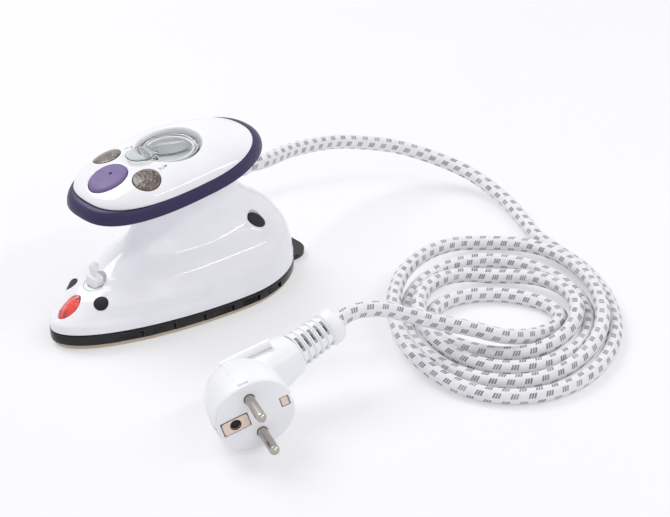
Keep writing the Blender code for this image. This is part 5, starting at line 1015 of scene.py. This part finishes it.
class IRON_OT_dial(bpy.types.Operator):
    """Clear dial with its leaf grip and pointer lobe, and the small marks round it"""

    bl_idname = "iron.dial"
    bl_label = "Dial and marks"

    def execute(self, context):
        h, look = context.scene.iron_handle, finishes()
        place = handle_place() @ Matrix.Translation((0.0, DIAL_Y, 0.0))
        r = h.dial_radius / MM
        profile = [(0.0, 11.4), (r - 0.4, 11.4), (r, 11.8), (r, 13.7), (r - 0.3, 14.2),
                   (r - 0.8, 14.3), (r - 1.3, 14.1), (r - 1.6, 13.5), (r - 2.3, 13.0),
                   (r - 4.2, 12.9), (0.0, 12.95)]
        disc = turned("dial_clear", [(a * MM, z * MM) for a, z in profile], place, 96)
        rings = []
        ridge = smooth_table(((0.0, 1.0, 1.0), (0.3, 0.98, 0.78), (0.7, 0.86, 0.42),
                              (0.93, 0.7, 0.2), (1.0, 0.62, 0.1)), 16)
        for rise, along, width in ridge:
            ring = []
            for i in range(64):
                turn = math.tau * i / 64
                point = Vector((3.6 * MM * width * power(math.sin(turn), 1.5),
                                10.6 * MM * along * math.cos(turn), (13.0 + 3.4 * rise) * MM))
                ring.append(Matrix.Rotation(-31 * DEG, 3, "Z") @ point)
            rings.append(ring)
        leaf = loft("dial_leaf", rings, place)
        finish_piece(leaf, "dial", look["leaf"])
        fuse(disc, boxes("arm_tool", [((-4 * MM, -14.4 * MM, 12.4 * MM),
                                       (4 * MM, -10 * MM, 18.6 * MM))], place))
        rim = [(0.0, 17.3), (6.9, 17.3), (7.2, 17.6), (7.2, 18.3), (6.9, 18.6), (5.9, 18.75),
               (0.0, 18.85)]
        fuse(disc, turned("lobe_tool", [(a * MM, z * MM) for a, z in rim],
                          place @ Matrix.Translation((0.0, -17.4 * MM, 0.0)), 64))
        finish_piece(disc, "dial", look["dial"], ("dial",))

        # Painted highlight: a pale frosted ring set in the clear dial stands for the bright rings
        # that its clear rim shows
        rim = [(11.6, 12.7), (12.6, 12.7), (12.6, 13.5), (12.4, 13.8), (12.1, 13.9), (11.8, 13.8),
               (11.6, 13.5)]
        ring = turned("dial_ring_highlight", [(a * MM, z * MM) for a, z in rim], place, 96, cyclic=True)
        finish_piece(ring, "dial", look["stopper"])

        # Marks lie on the crown, a tenth of a millimetre deep
        frame_at = handle_place()

        def printed(name, strokes, ink):
            bm = bmesh.new()
            for shape in strokes:
                low = [Vector((x * MM, y * MM, crown_height(x * MM, y * MM) + 0.01 * MM))
                       for x, y in shape]
                add_rings(bm, [low, [p + Vector((0, 0, 0.07 * MM)) for p in low]])
            mark = mesh_piece(name, bm, frame_at)
            finish_piece(mark, "iron", look[ink])

        def triangle(x, y, size, turn):
            return [(x + size * math.cos(turn + math.tau * k / 3),
                     y + size * math.sin(turn + math.tau * k / 3)) for k in range(3)]

        def stroke(points, width):
            shapes = []
            for (ax, ay), (bx, by) in zip(points, points[1:]):
                run = Vector((bx - ax, by - ay)).normalized() * width / 2
                side = Vector((-run.y, run.x))
                shapes.append([(ax - run.x - side.x, ay - run.y - side.y),
                               (bx + run.x - side.x, by + run.y - side.y),
                               (bx + run.x + side.x, by + run.y + side.y),
                               (ax - run.x + side.x, ay - run.y + side.y)])
            return shapes

        printed("mark_triangles", [triangle(-11.2, -14.9, 0.8, 2.1), triangle(14.9, -13.9, 0.8, 1.2)],
                "ink")
        two = [(-0.8, 0.9), (-0.4, 1.4), (0.35, 1.4), (0.75, 0.9), (0.6, 0.3), (-0.8, -1.3),
               (0.9, -1.3)]
        printed("mark_two", stroke([(15.0 + x, -16.2 + y) for x, y in two], 0.42), "ink_pale")
        one = [(-0.5, 0.7), (0.1, 1.3), (0.1, -1.3)]
        printed("mark_one", stroke([(-12.5 + x, -17.3 + y) for x, y in one], 0.42), "ink_pale")
        return {"FINISHED"}


class IRON_OT_filler(bpy.types.Operator):
    """Cup of the water filler and the stopper with its round knob"""

    bl_idname = "iron.filler"
    bl_label = "Water filler"

    def execute(self, context):
        look = finishes()
        place = Matrix.Translation((0.0, FILLER_Y, 0.0))
        profile = [(4.6, 16.4), (4.6, 22.8), (5.7, 22.8), (5.7, 24.8), (5.5, 25.1), (5.2, 25.2),
                   (3.5, 25.2), (3.2, 24.9), (3.2, 17.6), (0.0, 17.6)]
        cup = turned("filler_cup", [(a * MM, z * MM) for a, z in profile], place)
        finish_piece(cup, "iron", look["gland"], ("filler_neck",))
        lift = Matrix.Translation((0.0, FILLER_Y, FILLER_TOP))
        plug = turned("filler_stopper", [(a * MM, z * MM) for a, z in (
            (0.0, -4.4), (2.6, -4.4), (2.9, -4.0), (2.9, 1.0), (0.0, 1.0))], lift)
        rings = []
        for inset, z in ((0.35, 0.3), (0.0, 0.6), (0.0, 4.4), (0.15, 4.95), (0.5, 5.4),
                         (1.0, 5.65), (2.0, 5.75)):
            ring = outline((4.0 - inset) * MM, (3.1 - inset) * MM, (3.1 - inset) * MM, 0.0,
                           (5, 5), (5, 5), z * MM, FINE_SIDES)
            rings.append(ring)
        fuse(plug, loft("block_tool", rings, lift))
        centre = 35.2 - 25.2
        knob = [(0.0, 4.7), (1.9, 5.5), (1.6, 6.0), (1.6, centre - 2.5)]
        for i in range(3, 17):
            turn = math.pi * i / 16
            if i > 8 or 2.6 * math.sin(turn) > 1.7:
                knob.append((2.6 * math.sin(turn), centre - 2.6 * math.cos(turn)))
        fuse(plug, turned("knob_tool", [(a * MM, z * MM) for a, z in knob], lift))
        arms = [[Vector((x * MM, p.x, (centre - 4.6) * MM + p.y))
                 for p in circle(r * MM, sides=SMALL_SIDES)]
                for x, r in ((-3.6, 0.4), (-3.4, 0.75), (-3.0, 0.95), (3.0, 0.95), (3.4, 0.75),
                             (3.6, 0.4))]
        fuse(plug, loft("arms_tool", arms, lift))
        finish_piece(plug, "stopper", look["stopper"], ("filler_plug",))
        return {"FINISHED"}


# Cord and plug

PLUG_PLACE = (Matrix.Translation((134.9 * MM, -60.0 * MM, 20.6 * MM))
              @ Euler((-86.7 * DEG, 16.9 * DEG, -110.3 * DEG)).to_matrix().to_4x4())
ARM_PLACE = (PLUG_PLACE @ Matrix.Translation((0.0, 0.0, -24.7 * MM))
             @ Matrix.Rotation(-104.7 * DEG, 4, "Y"))
LEAD_ROUTE = (
    (-3.1, 63.5, 53.6), (-12.8, 89.4, 47.0), (-19.2, 124.8, 37.0), (-16.9, 146.2, 30.0),
    (-11.3, 164.3, 23.5), (4.4, 181.7, 15.5), (22.2, 189.2, 10.5), (47.6, 188.8, 6.0),
    (69.0, 181.7, 4.3), (86.0, 174.5, 4.1),
)
TAIL_ROUTE = (
    (156.0, 96.0, 7.5), (153.5, 79.9, 13.0), (143.6, 67.1, 18.0), (133.9, 54.2, 22.5),
    (127.7, 42.7, 28.0), (122.6, 30.5, 34.0), (119.9, 20.7, 36.8),
)
COIL_START, COIL_END, COIL_STEPS = 0.11, 4.36, 24


def coil_route():
    """Loose spiral from its outer end in, every other turn lifted over its neighbours."""
    c = bpy.context.scene.iron_cord
    turn_of = 48.4 * DEG
    right = Vector((math.cos(turn_of), math.sin(turn_of), 0.0))
    back = Vector((-math.sin(turn_of), math.cos(turn_of), 0.0))
    turns = COIL_END - COIL_START
    steps = round(turns * COIL_STEPS)
    points = []
    for i in range(steps + 1):
        turn = COIL_START + turns * i / steps
        angle = math.pi / 2 - math.tau * turn
        width = c.coil_half_width - 6.3 * MM * (turn - 0.25)
        reach = c.coil_front - 12.3 * MM * (turn - 0.5)
        if math.sin(angle) > 0.0:
            reach = c.coil_back - (17.3 if turn > 1.0 else 9.0) * MM * (turn - 1.0)
        last = max(0.0, turn - COIL_END + 0.35) / 0.35
        width -= 3.0 * MM * last**2
        reach -= 3.0 * MM * last**2
        share = min(1.0, max(0.0, -1.4 * math.cos(math.pi * turn)))
        lift = c.coil_lift * share * abs(math.cos(angle))
        point = Vector((131.3 * MM, 100.9 * MM, 4.0 * MM + lift))
        points.append(point + right * (width * math.cos(angle))
                      + back * (reach * math.sin(angle)))
    return points


def even_route(route, step):
    """Points at an even step along a smooth curve through the route."""
    ends = [route[0] * 2 - route[1], *route, route[-1] * 2 - route[-2]]
    fine = []
    for a, b, c, d in zip(ends, ends[1:], ends[2:], ends[3:]):
        ta, tb = 0.0, (b - a).length ** 0.5
        tc = tb + (c - b).length ** 0.5
        td = tc + (d - c).length ** 0.5
        pieces = max(int((c - b).length / (0.5 * MM)), 2)
        for i in range(pieces):
            t = tb + (tc - tb) * i / pieces
            ab = a.lerp(b, (t - ta) / (tb - ta))
            bc = b.lerp(c, (t - tb) / (tc - tb))
            cd = c.lerp(d, (t - tc) / (td - tc))
            abc, bcd = ab.lerp(bc, (t - ta) / (tc - ta)), bc.lerp(cd, (t - tb) / (td - tb))
            fine.append(abc.lerp(bcd, (t - tb) / (tc - tb)))
    fine.append(route[-1])
    lengths = np.cumsum([0.0] + [(b - a).length for a, b in zip(fine, fine[1:])])
    count = round(lengths[-1] / step)
    places = np.array([tuple(p) for p in fine])
    at = np.linspace(0, lengths[-1], count + 1)
    return [Vector(p) for p in zip(*(np.interp(at, lengths, places[:, k]) for k in range(3)))]


def cord_mesh(name, points, radius, sides=24):
    """Tube along the points with U once round it and V in metres along it."""
    bm = bmesh.new()
    uv = bm.loops.layers.uv.new("braid")
    run, across, rows, places = 0.0, Vector((0, 0, 1)), [], []
    for i, point in enumerate(points):
        ahead = points[min(i + 1, len(points) - 1)] - points[max(i - 1, 0)]
        ahead.normalize()
        across = (across - ahead * across.dot(ahead)).normalized()
        other = ahead.cross(across)
        run += (point - points[i - 1]).length if i else 0.0
        rows.append([bm.verts.new(point + (across * math.cos(math.tau * j / sides)
                                           + other * math.sin(math.tau * j / sides)) * radius)
                     for j in range(sides)])
        places.append(run)
    for i in range(len(rows) - 1):
        for j in range(sides):
            k = (j + 1) % sides
            face = bm.faces.new((rows[i][j], rows[i][k], rows[i + 1][k], rows[i + 1][j]))
            for loop, (u, v) in zip(face.loops, ((j, i), (j + 1, i), (j + 1, i + 1), (j, i + 1))):
                loop[uv].uv = (u / sides, places[v])
    bm.faces.new(rows[0][::-1])
    bm.faces.new(rows[-1])
    return mesh_piece(name, bm), places[-1]


class IRON_OT_plug(bpy.types.Operator):
    """Angled mains plug: soft white moulding, pins, earth parts and the slotted sleeve"""

    bl_idname = "iron.plug"
    bl_label = "Plug"

    def execute(self, context):
        look, place, arm = finishes(), PLUG_PLACE, ARM_PLACE
        rings = []
        dome = smooth_table(((0.0, 0.955), (0.012, 0.985), (0.04, 1.0), (0.3, 1.0), (0.5, 0.97),
                             (0.72, 0.86), (0.88, 0.68), (0.97, 0.45), (1.0, 0.25)), 34)
        for depth, width in dome:
            rings.append(outline(19 * MM * width, 17.6 * MM * width, 17.6 * MM * width, 0.0,
                                 (2.2, 2.2), (2.2, 2.2), -35 * MM * depth, 96))
        body = loft("plug_moulding", rings, place)
        sections = []
        for along, size in smooth_table(((0.15, 1.0), (0.55, 0.98), (0.85, 0.86),
                                         (0.985, 0.78), (1.0, 0.74)), 20):
            sections.append(outline(12.5 * MM * size, 11 * MM * size, 11 * MM * size, 0.0,
                                    (2.6, 2.6), (2.6, 2.6), 32 * MM * along, 64))
        fuse(body, loft("arm_tool", sections, arm))
        for side in (-1, 1):
            stations = []
            for end, away in ((3.5, -1), (-22.0, 1)):
                cap = [(end + away * 2.2 * (1 - math.sin(math.pi / 2 * (i + 0.5) / 8)),
                        2.2 * math.sin(math.pi / 2 * (i + 0.5) / 8)) for i in range(8)]
                stations += cap if away < 0 else cap[::-1]
            bar = loft("grip_tool", [[Vector((x * MM, side * 12.6 * MM + p.x,
                                              p.y - 29.6 * MM))
                                      for p in circle(r * MM, sides=SMALL_SIDES)]
                                     for x, r in stations], place)
            fuse(body, bar)
        # A flat strip runs from the upper notch over the dome, a quarter of a millimetre proud
        proud = [outline(19.25 * MM * w, 17.85 * MM * w, 17.85 * MM * w, 0.0, (2.2, 2.2),
                         (2.2, 2.2), -35 * MM * d, 96) for d, w in dome[2:]]
        strip = boxes("strip_box", [((-2.6 * MM, -0.03, -0.032), (2.6 * MM, -0.005, -0.002))], place)
        fuse(body, keep_inside(strip, loft("strip_limit", proud, place)))
        cut(body, boxes("upper_notch_tool", [((-2.6 * MM, -0.02, -2 * MM),
                                              (2.6 * MM, -0.0169, MM))], place))
        pins = [(0.0, side * 9.5 * MM) for side in (-1, 1)]
        cut(body, rods("pin_tool", pins, 2.7 * MM, -4.3 * MM, MM, place, SMALL_SIDES))
        spans = [((x - w - 0.5, -d - 0.6, -2.6), (x + w + 0.4, d + 0.4, 1.0))
                 for x, w, d in ((10.0, 6.4, 3.3), (-14.6, 1.8, 2.1))]
        cut(body, boxes("earth_tool", [(tuple(v * MM for v in a), tuple(v * MM for v in b))
                                       for a, b in spans], place))
        cut(body, rods("hole_tool", [(10 * MM, 0.0)], 2.5 * MM, -14 * MM, MM, place,
                       SMALL_SIDES))
        spans = [((-20.0, -2.6, -9.0), (-17.5, 2.6, 1.0)), ((18.0, -2.6, -9.0), (20.0, 2.6, 1.0))]
        cut(body, boxes("notch_tool", [(tuple(v * MM for v in a), tuple(v * MM for v in b))
                                       for a, b in spans], place))
        finish_piece(body, "iron", look["plug"], ("plug_body",))

        pieces = [body]
        for name, (x, y) in zip(("lower", "upper"), reversed(pins)):
            profile = [(0.0, -4.0), (2.4, -4.0), (2.4, 16.6)]
            for i in range(1, 13):
                turn = math.pi / 2 * i / 12
                profile.append((2.4 * math.cos(turn), 16.6 + 2.4 * math.sin(turn)))
            pin = turned(f"pin_{name}", [(r * MM, z * MM) for r, z in profile],
                         place @ Matrix.Translation((x, y, 0.0)), 48)
            finish_piece(pin, "iron", look["nickel"], (f"plug_pin_{name}",))
            pieces.append(pin)
        flat = outline(6.25 * MM, 3.3 * MM, 3.3 * MM, 0.0, (8, 8), (8, 8), points=SMALL_SIDES)
        plate = loft("earth_plate", [[p + Vector((9.85 * MM, 0, z)) for p in flat]
                                     for z in (-MM, 0.0)], place)
        cut(plate, turned("bore_tool", [(r * MM, z * MM) for r, z in (
            (0.0, -2.0), (2.5, -2.0), (2.5, -0.4), (2.8, 0.05), (2.8, 1.0), (0.0, 1.0))],
            place @ Matrix.Translation((10 * MM, 0, 0)), SMALL_SIDES))
        finish_piece(plate, "iron", look["copper"], ("earth_socket",))
        # Painted shade: a dark rod in the earth hole stands for the shade inside it
        well = rods("earth_well_shade", [(10 * MM, 0.0)], 2.45 * MM, -13.5 * MM, -1.6 * MM, place)
        finish_piece(well, "iron", look["hole"])
        pieces.append(well)
        tab = loft("earth_tab", [[p + Vector((-14.6 * MM, 0, z * MM)) for p in outline(
            (1.8 - o) * MM, (2.1 - o) * MM, (2.1 - o) * MM, 0.0, (8, 8), (8, 8),
            points=SMALL_SIDES)] for o, z in ((0, -1.0), (0, -0.25), (0.25, 0.0))], place)
        finish_piece(tab, "iron", look["copper"], ("earth_clip",))

        start, step = 32.3, 26.5 * 0.7 / 5
        profile = [(0.0, start)]
        for i in range(5):
            radius, z = 9.0 - 0.8 * i / 5, start + step * i
            profile += [(radius - 0.25, z), (radius, z + 0.3), (radius - 0.5, z + step * 0.55),
                        (radius - 0.85, z + step * 0.82), (radius - 0.9, z + step * 0.97)]
        collar = 26.5 * 0.3
        base = start + step * 5
        for along, size in smooth_table(((0.0, 0.98), (0.12, 1.05), (0.45, 1.07), (0.8, 0.95),
                                         (0.94, 0.8), (1.0, 0.66)), 16):
            profile.append((8.2 * size, base + collar * along))
        profile += [(3.95, base + collar), (3.95, base + collar - 5.0),
                    (0.0, base + collar - 5.0)]
        sleeve = turned("plug_sleeve", [(r * MM, z * MM) for r, z in profile], arm, 64)
        bm = bmesh.new()
        for i in range(5):
            z = start + step * (i + 0.5)
            for quarter in range(4):
                turn = Matrix.Rotation(math.pi / 4 + math.pi / 2 * quarter, 3, "Z")
                corners = ((4.4, -3.8), (10.0, -3.8), (10.0, 3.8), (4.4, 3.8))
                add_rings(bm, [[turn @ Vector((x * MM, y * MM, (z + e) * MM))
                                for x, y in corners] for e in (-0.95, 0.95)])
        cut(sleeve, mesh_piece("slot_tool", bm, arm))
        finish_piece(sleeve, "iron", look["plug"], ("plug_boot",))
        # Painted shade: a dark core stands for the shade in the hollow that shows through the slots
        core = rods("sleeve_shade_core", [(0.0, 0.0)], 4.7 * MM, (start + 0.6) * MM, base * MM, arm)
        finish_piece(core, "iron", look["hole"])
        pieces += [sleeve, core]
        context.scene["plug_pieces"] = [p.name for p in pieces + [plate, tab]]
        return {"FINISHED"}


class IRON_OT_cord(bpy.types.Operator):
    """Braided cord from the neck through its loose coil to the plug, and its short sleeve"""

    bl_idname = "iron.cord"
    bl_label = "Cord"

    def execute(self, context):
        look, cord = finishes(), context.scene.iron_cord
        out = Vector((0.0, math.cos(CORD_PITCH), -math.sin(CORD_PITCH)))
        profile = [(0.0, -7.8), (5.9, -7.8), (5.9, -6.2), (4.4, -6.2), (4.4, 2.2)]
        for i in range(3):
            radius, z = 5.2 - 0.6 * i / 3, 2.2 + 2.93 * i
            profile += [(radius - 0.2, z), (radius, z + 0.25), (radius, z + 1.5),
                        (radius - 0.2, z + 1.8), (radius * 0.9, z + 2.05),
                        (radius * 0.9, z + 2.8)]
        profile += [(4.3, 11.0), (3.95, 11.0), (3.95, 7.0), (0.0, 7.0)]
        gland = turned("cord_sleeve", [(r * MM, z * MM) for r, z in profile],
                       at_angle(CORD_EXIT, out))
        finish_piece(gland, "iron", look["gland"], ("cord_gland",))

        end = ARM_PLACE @ Vector((0.0, 0.0, 54.5 * MM))
        before = ARM_PLACE @ Vector((0.0, 0.0, 66.0 * MM))
        route = [CORD_EXIT + out * (8.0 * MM), CORD_EXIT + out * (18.8 * MM)]
        route += [Vector(p) * MM for p in LEAD_ROUTE]
        route += coil_route()
        route += [Vector(p) * MM for p in TAIL_ROUTE]
        route += [before, end]
        points = even_route(route, 2.5 * MM)
        braided, run = cord_mesh("mains_cord", points, cord.radius)
        finish_piece(braided, "iron", look["braid"], ("cord_lead", "cord_coil", "cord_tail"))
        print(f"cord {run:.3f} m")
        return {"FINISHED"}


class IRON_OT_inner(bpy.types.Operator):
    """Finishes of the parts inside the housing"""

    bl_idname = "iron.inner"
    bl_label = "Inner parts"

    def execute(self, context):
        look = finishes()
        for finish, names in {
            "steel": ("dial_spindle", "lever_pin", "valve_spring", "heating_element",
                      "steam_chamber_cover", "case_screw_front_left", "case_screw_front_right",
                      "case_screw_rear_left", "case_screw_rear_right", "handle_screw_left",
                      "handle_screw_right"),
            "brass": ("valve_rod", "drip_valve_seat", "pilot_lamp"),
            "nickel": ("thermal_fuse",),
            "mica": ("thermostat",),
            "board": ("indicator_board",),
            "inner_white": ("terminal_block",),
            "inner_black": ("steam_lever", "cord_clamp"),
            "tank": ("water_tank", "indicator_lamp_left", "indicator_lamp_right"),
        }.items():
            for name in names:
                node = bpy.data.objects[name]
                if not node.material_slots:
                    raise RuntimeError(f"{name} has no material slot")
                for slot in node.material_slots:
                    slot.material = look[finish]
        return {"FINISHED"}


class IRON_OT_stage(bpy.types.Operator):
    """Camera, pale floor, lamps and sky"""

    bl_idname = "iron.stage"
    bl_label = "Stage"

    def execute(self, context):
        scene, stage = context.scene, context.scene.iron_stage
        data = bpy.data.cameras.new("camera")
        data.lens, data.sensor_width, data.clip_start = stage.focal, 36.0, 0.01
        camera = bpy.data.objects.new("camera", data)
        right = Vector((0.664, 0.7475, 0.0)).normalized()
        back = Vector((0.646, -0.574, 0.502))
        back = (back - right * back.dot(right)).normalized()
        up = back.cross(right)
        turn = Matrix((right, up, back)).transposed().to_4x4()
        camera.matrix_world = Matrix.Translation((0.7558, -0.5640, 0.5663)) @ turn
        scene.collection.objects.link(camera)
        scene.camera = camera

        bm = bmesh.new()
        bmesh.ops.create_grid(bm, x_segments=4, y_segments=4, size=6.0)
        floor = mesh_piece("floor", bm, Matrix.Translation((0.0, 0.0, -0.05 * MM)))
        floor.data.materials.append(floor_finish(tuple(scene.iron_colours.floor)))

        world = bpy.data.worlds.new("studio")
        world.use_nodes = True
        tree = world.node_tree
        even = tree.nodes["Background"]
        even.inputs["Color"].default_value = (0.97, 0.975, 1.0, 1.0)
        even.inputs["Strength"].default_value = stage.sky
        seen = add_node(tree, "ShaderNodeBackground", {"Color": (1, 1, 1, 1), "Strength": 1.0})
        pick = add_node(tree, "ShaderNodeMixShader", _0=seen_straight(tree),
                        _1=even.outputs["Background"], _2=seen.outputs["Background"])
        tree.links.new(pick.outputs["Shader"], tree.nodes["World Output"].inputs["Surface"])
        scene.world = world
        scene.view_settings.view_transform = "Standard"

        centre = Vector((0.05, 0.05, 0.03))
        for name, power_w, size, place in (
            ("key", stage.key, (0.8, 0.8), Vector((-0.75, -0.15, 1.15))),
            ("fill", stage.fill, (1.0, 1.0), Vector((1.3, -0.4, 0.9))),
            ("strip", stage.strip, (0.07, 1.0), Vector((0.6, 0.49, 0.78))),
        ):
            lamp = bpy.data.lights.new(name, "AREA")
            lamp.energy, lamp.shape, lamp.size, lamp.size_y = power_w, "RECTANGLE", *size
            obj = bpy.data.objects.new(name, lamp)
            back = (place - centre).normalized()
            along = Vector((-0.2, 0.87, -0.39)) if name == "strip" else Vector((0, 0, 1))
            along = (along - back * along.dot(back)).normalized()
            turn = Matrix((along.cross(back), along, back)).transposed().to_4x4()
            obj.matrix_world = Matrix.Translation(place) @ turn
            scene.collection.objects.link(obj)
        return {"FINISHED"}


def seen_straight(tree):
    """1 where the ray comes from the camera, or by a reflection or through clear plastic."""
    path = add_node(tree, "ShaderNodeLightPath")
    first = add_node(tree, "ShaderNodeMath", {"operation": "ADD", "use_clamp": True},
                     _0=path.outputs["Is Camera Ray"], _1=path.outputs["Is Glossy Ray"])
    both = add_node(tree, "ShaderNodeMath", {"operation": "ADD", "use_clamp": True},
                    _0=first.outputs[0], _1=path.outputs["Is Transmission Ray"])
    return both.outputs[0]


def floor_finish(rgb):
    """Matt white table: it takes the soft shadows, and shows near white to the eye."""
    material, tree, surface = new_material("Matt white laminate")
    where = add_node(tree, "ShaderNodeTexCoord").outputs["Object"]
    mottle = add_node(tree, "ShaderNodeTexNoise", {"Scale": 12.0, "Detail": 2.0}, Vector=where)
    tree.links.new(ramp(tree, mottle.outputs["Fac"], ((0.3, shade(rgb, 0.985)), (0.7, rgb))),
                   surface.inputs["Base Color"])
    surface.inputs["Roughness"].default_value = 0.9
    surface.inputs["Specular IOR Level"].default_value = 0.1
    glow = add_node(tree, "ShaderNodeEmission", {"Color": (1, 1, 1, 1), "Strength": 1.0})
    share = add_node(tree, "ShaderNodeMath", {"operation": "MULTIPLY", 1: 0.46},
                     _0=seen_straight(tree))
    mix = add_node(tree, "ShaderNodeMixShader", _0=share.outputs[0],
                   _1=surface.outputs["BSDF"], _2=glow.outputs["Emission"])
    tree.links.new(mix.outputs["Shader"], tree.nodes["Material Output"].inputs["Surface"])
    return material


STEPS = (IRON_OT_stage, IRON_OT_plug, IRON_OT_cord, IRON_OT_hull, IRON_OT_caps, IRON_OT_sole,
         IRON_OT_handle, IRON_OT_button, IRON_OT_lenses, IRON_OT_dial, IRON_OT_filler,
         IRON_OT_inner)


class IRON_PT_panel(bpy.types.Panel):
    """Steps and settings of the mini iron"""

    bl_idname = "IRON_PT_panel"
    bl_label = "Mini steam iron"
    bl_space_type = "VIEW_3D"
    bl_region_type = "UI"
    bl_category = "Iron"

    def draw(self, context):
        for name, group in GROUPS.items():
            box = self.layout.box()
            for key in group.__annotations__:
                box.prop(getattr(context.scene, name), key)
        for step in STEPS:
            self.layout.operator(step.bl_idname)


def register():
    for group in (*GROUPS.values(), *STEPS, IRON_PT_panel):
        bpy.utils.register_class(group)
    for name, group in GROUPS.items():
        setattr(bpy.types.Scene, name, PointerProperty(type=group))


def unregister():
    for name in GROUPS:
        delattr(bpy.types.Scene, name)
    for group in (IRON_PT_panel, *reversed(STEPS), *reversed(list(GROUPS.values()))):
        bpy.utils.unregister_class(group)


def main():
    register()
    for step in STEPS:
        area, name = step.bl_idname.split(".")
        getattr(getattr(bpy.ops, area), name)()


if __name__ == "__main__":
    main()
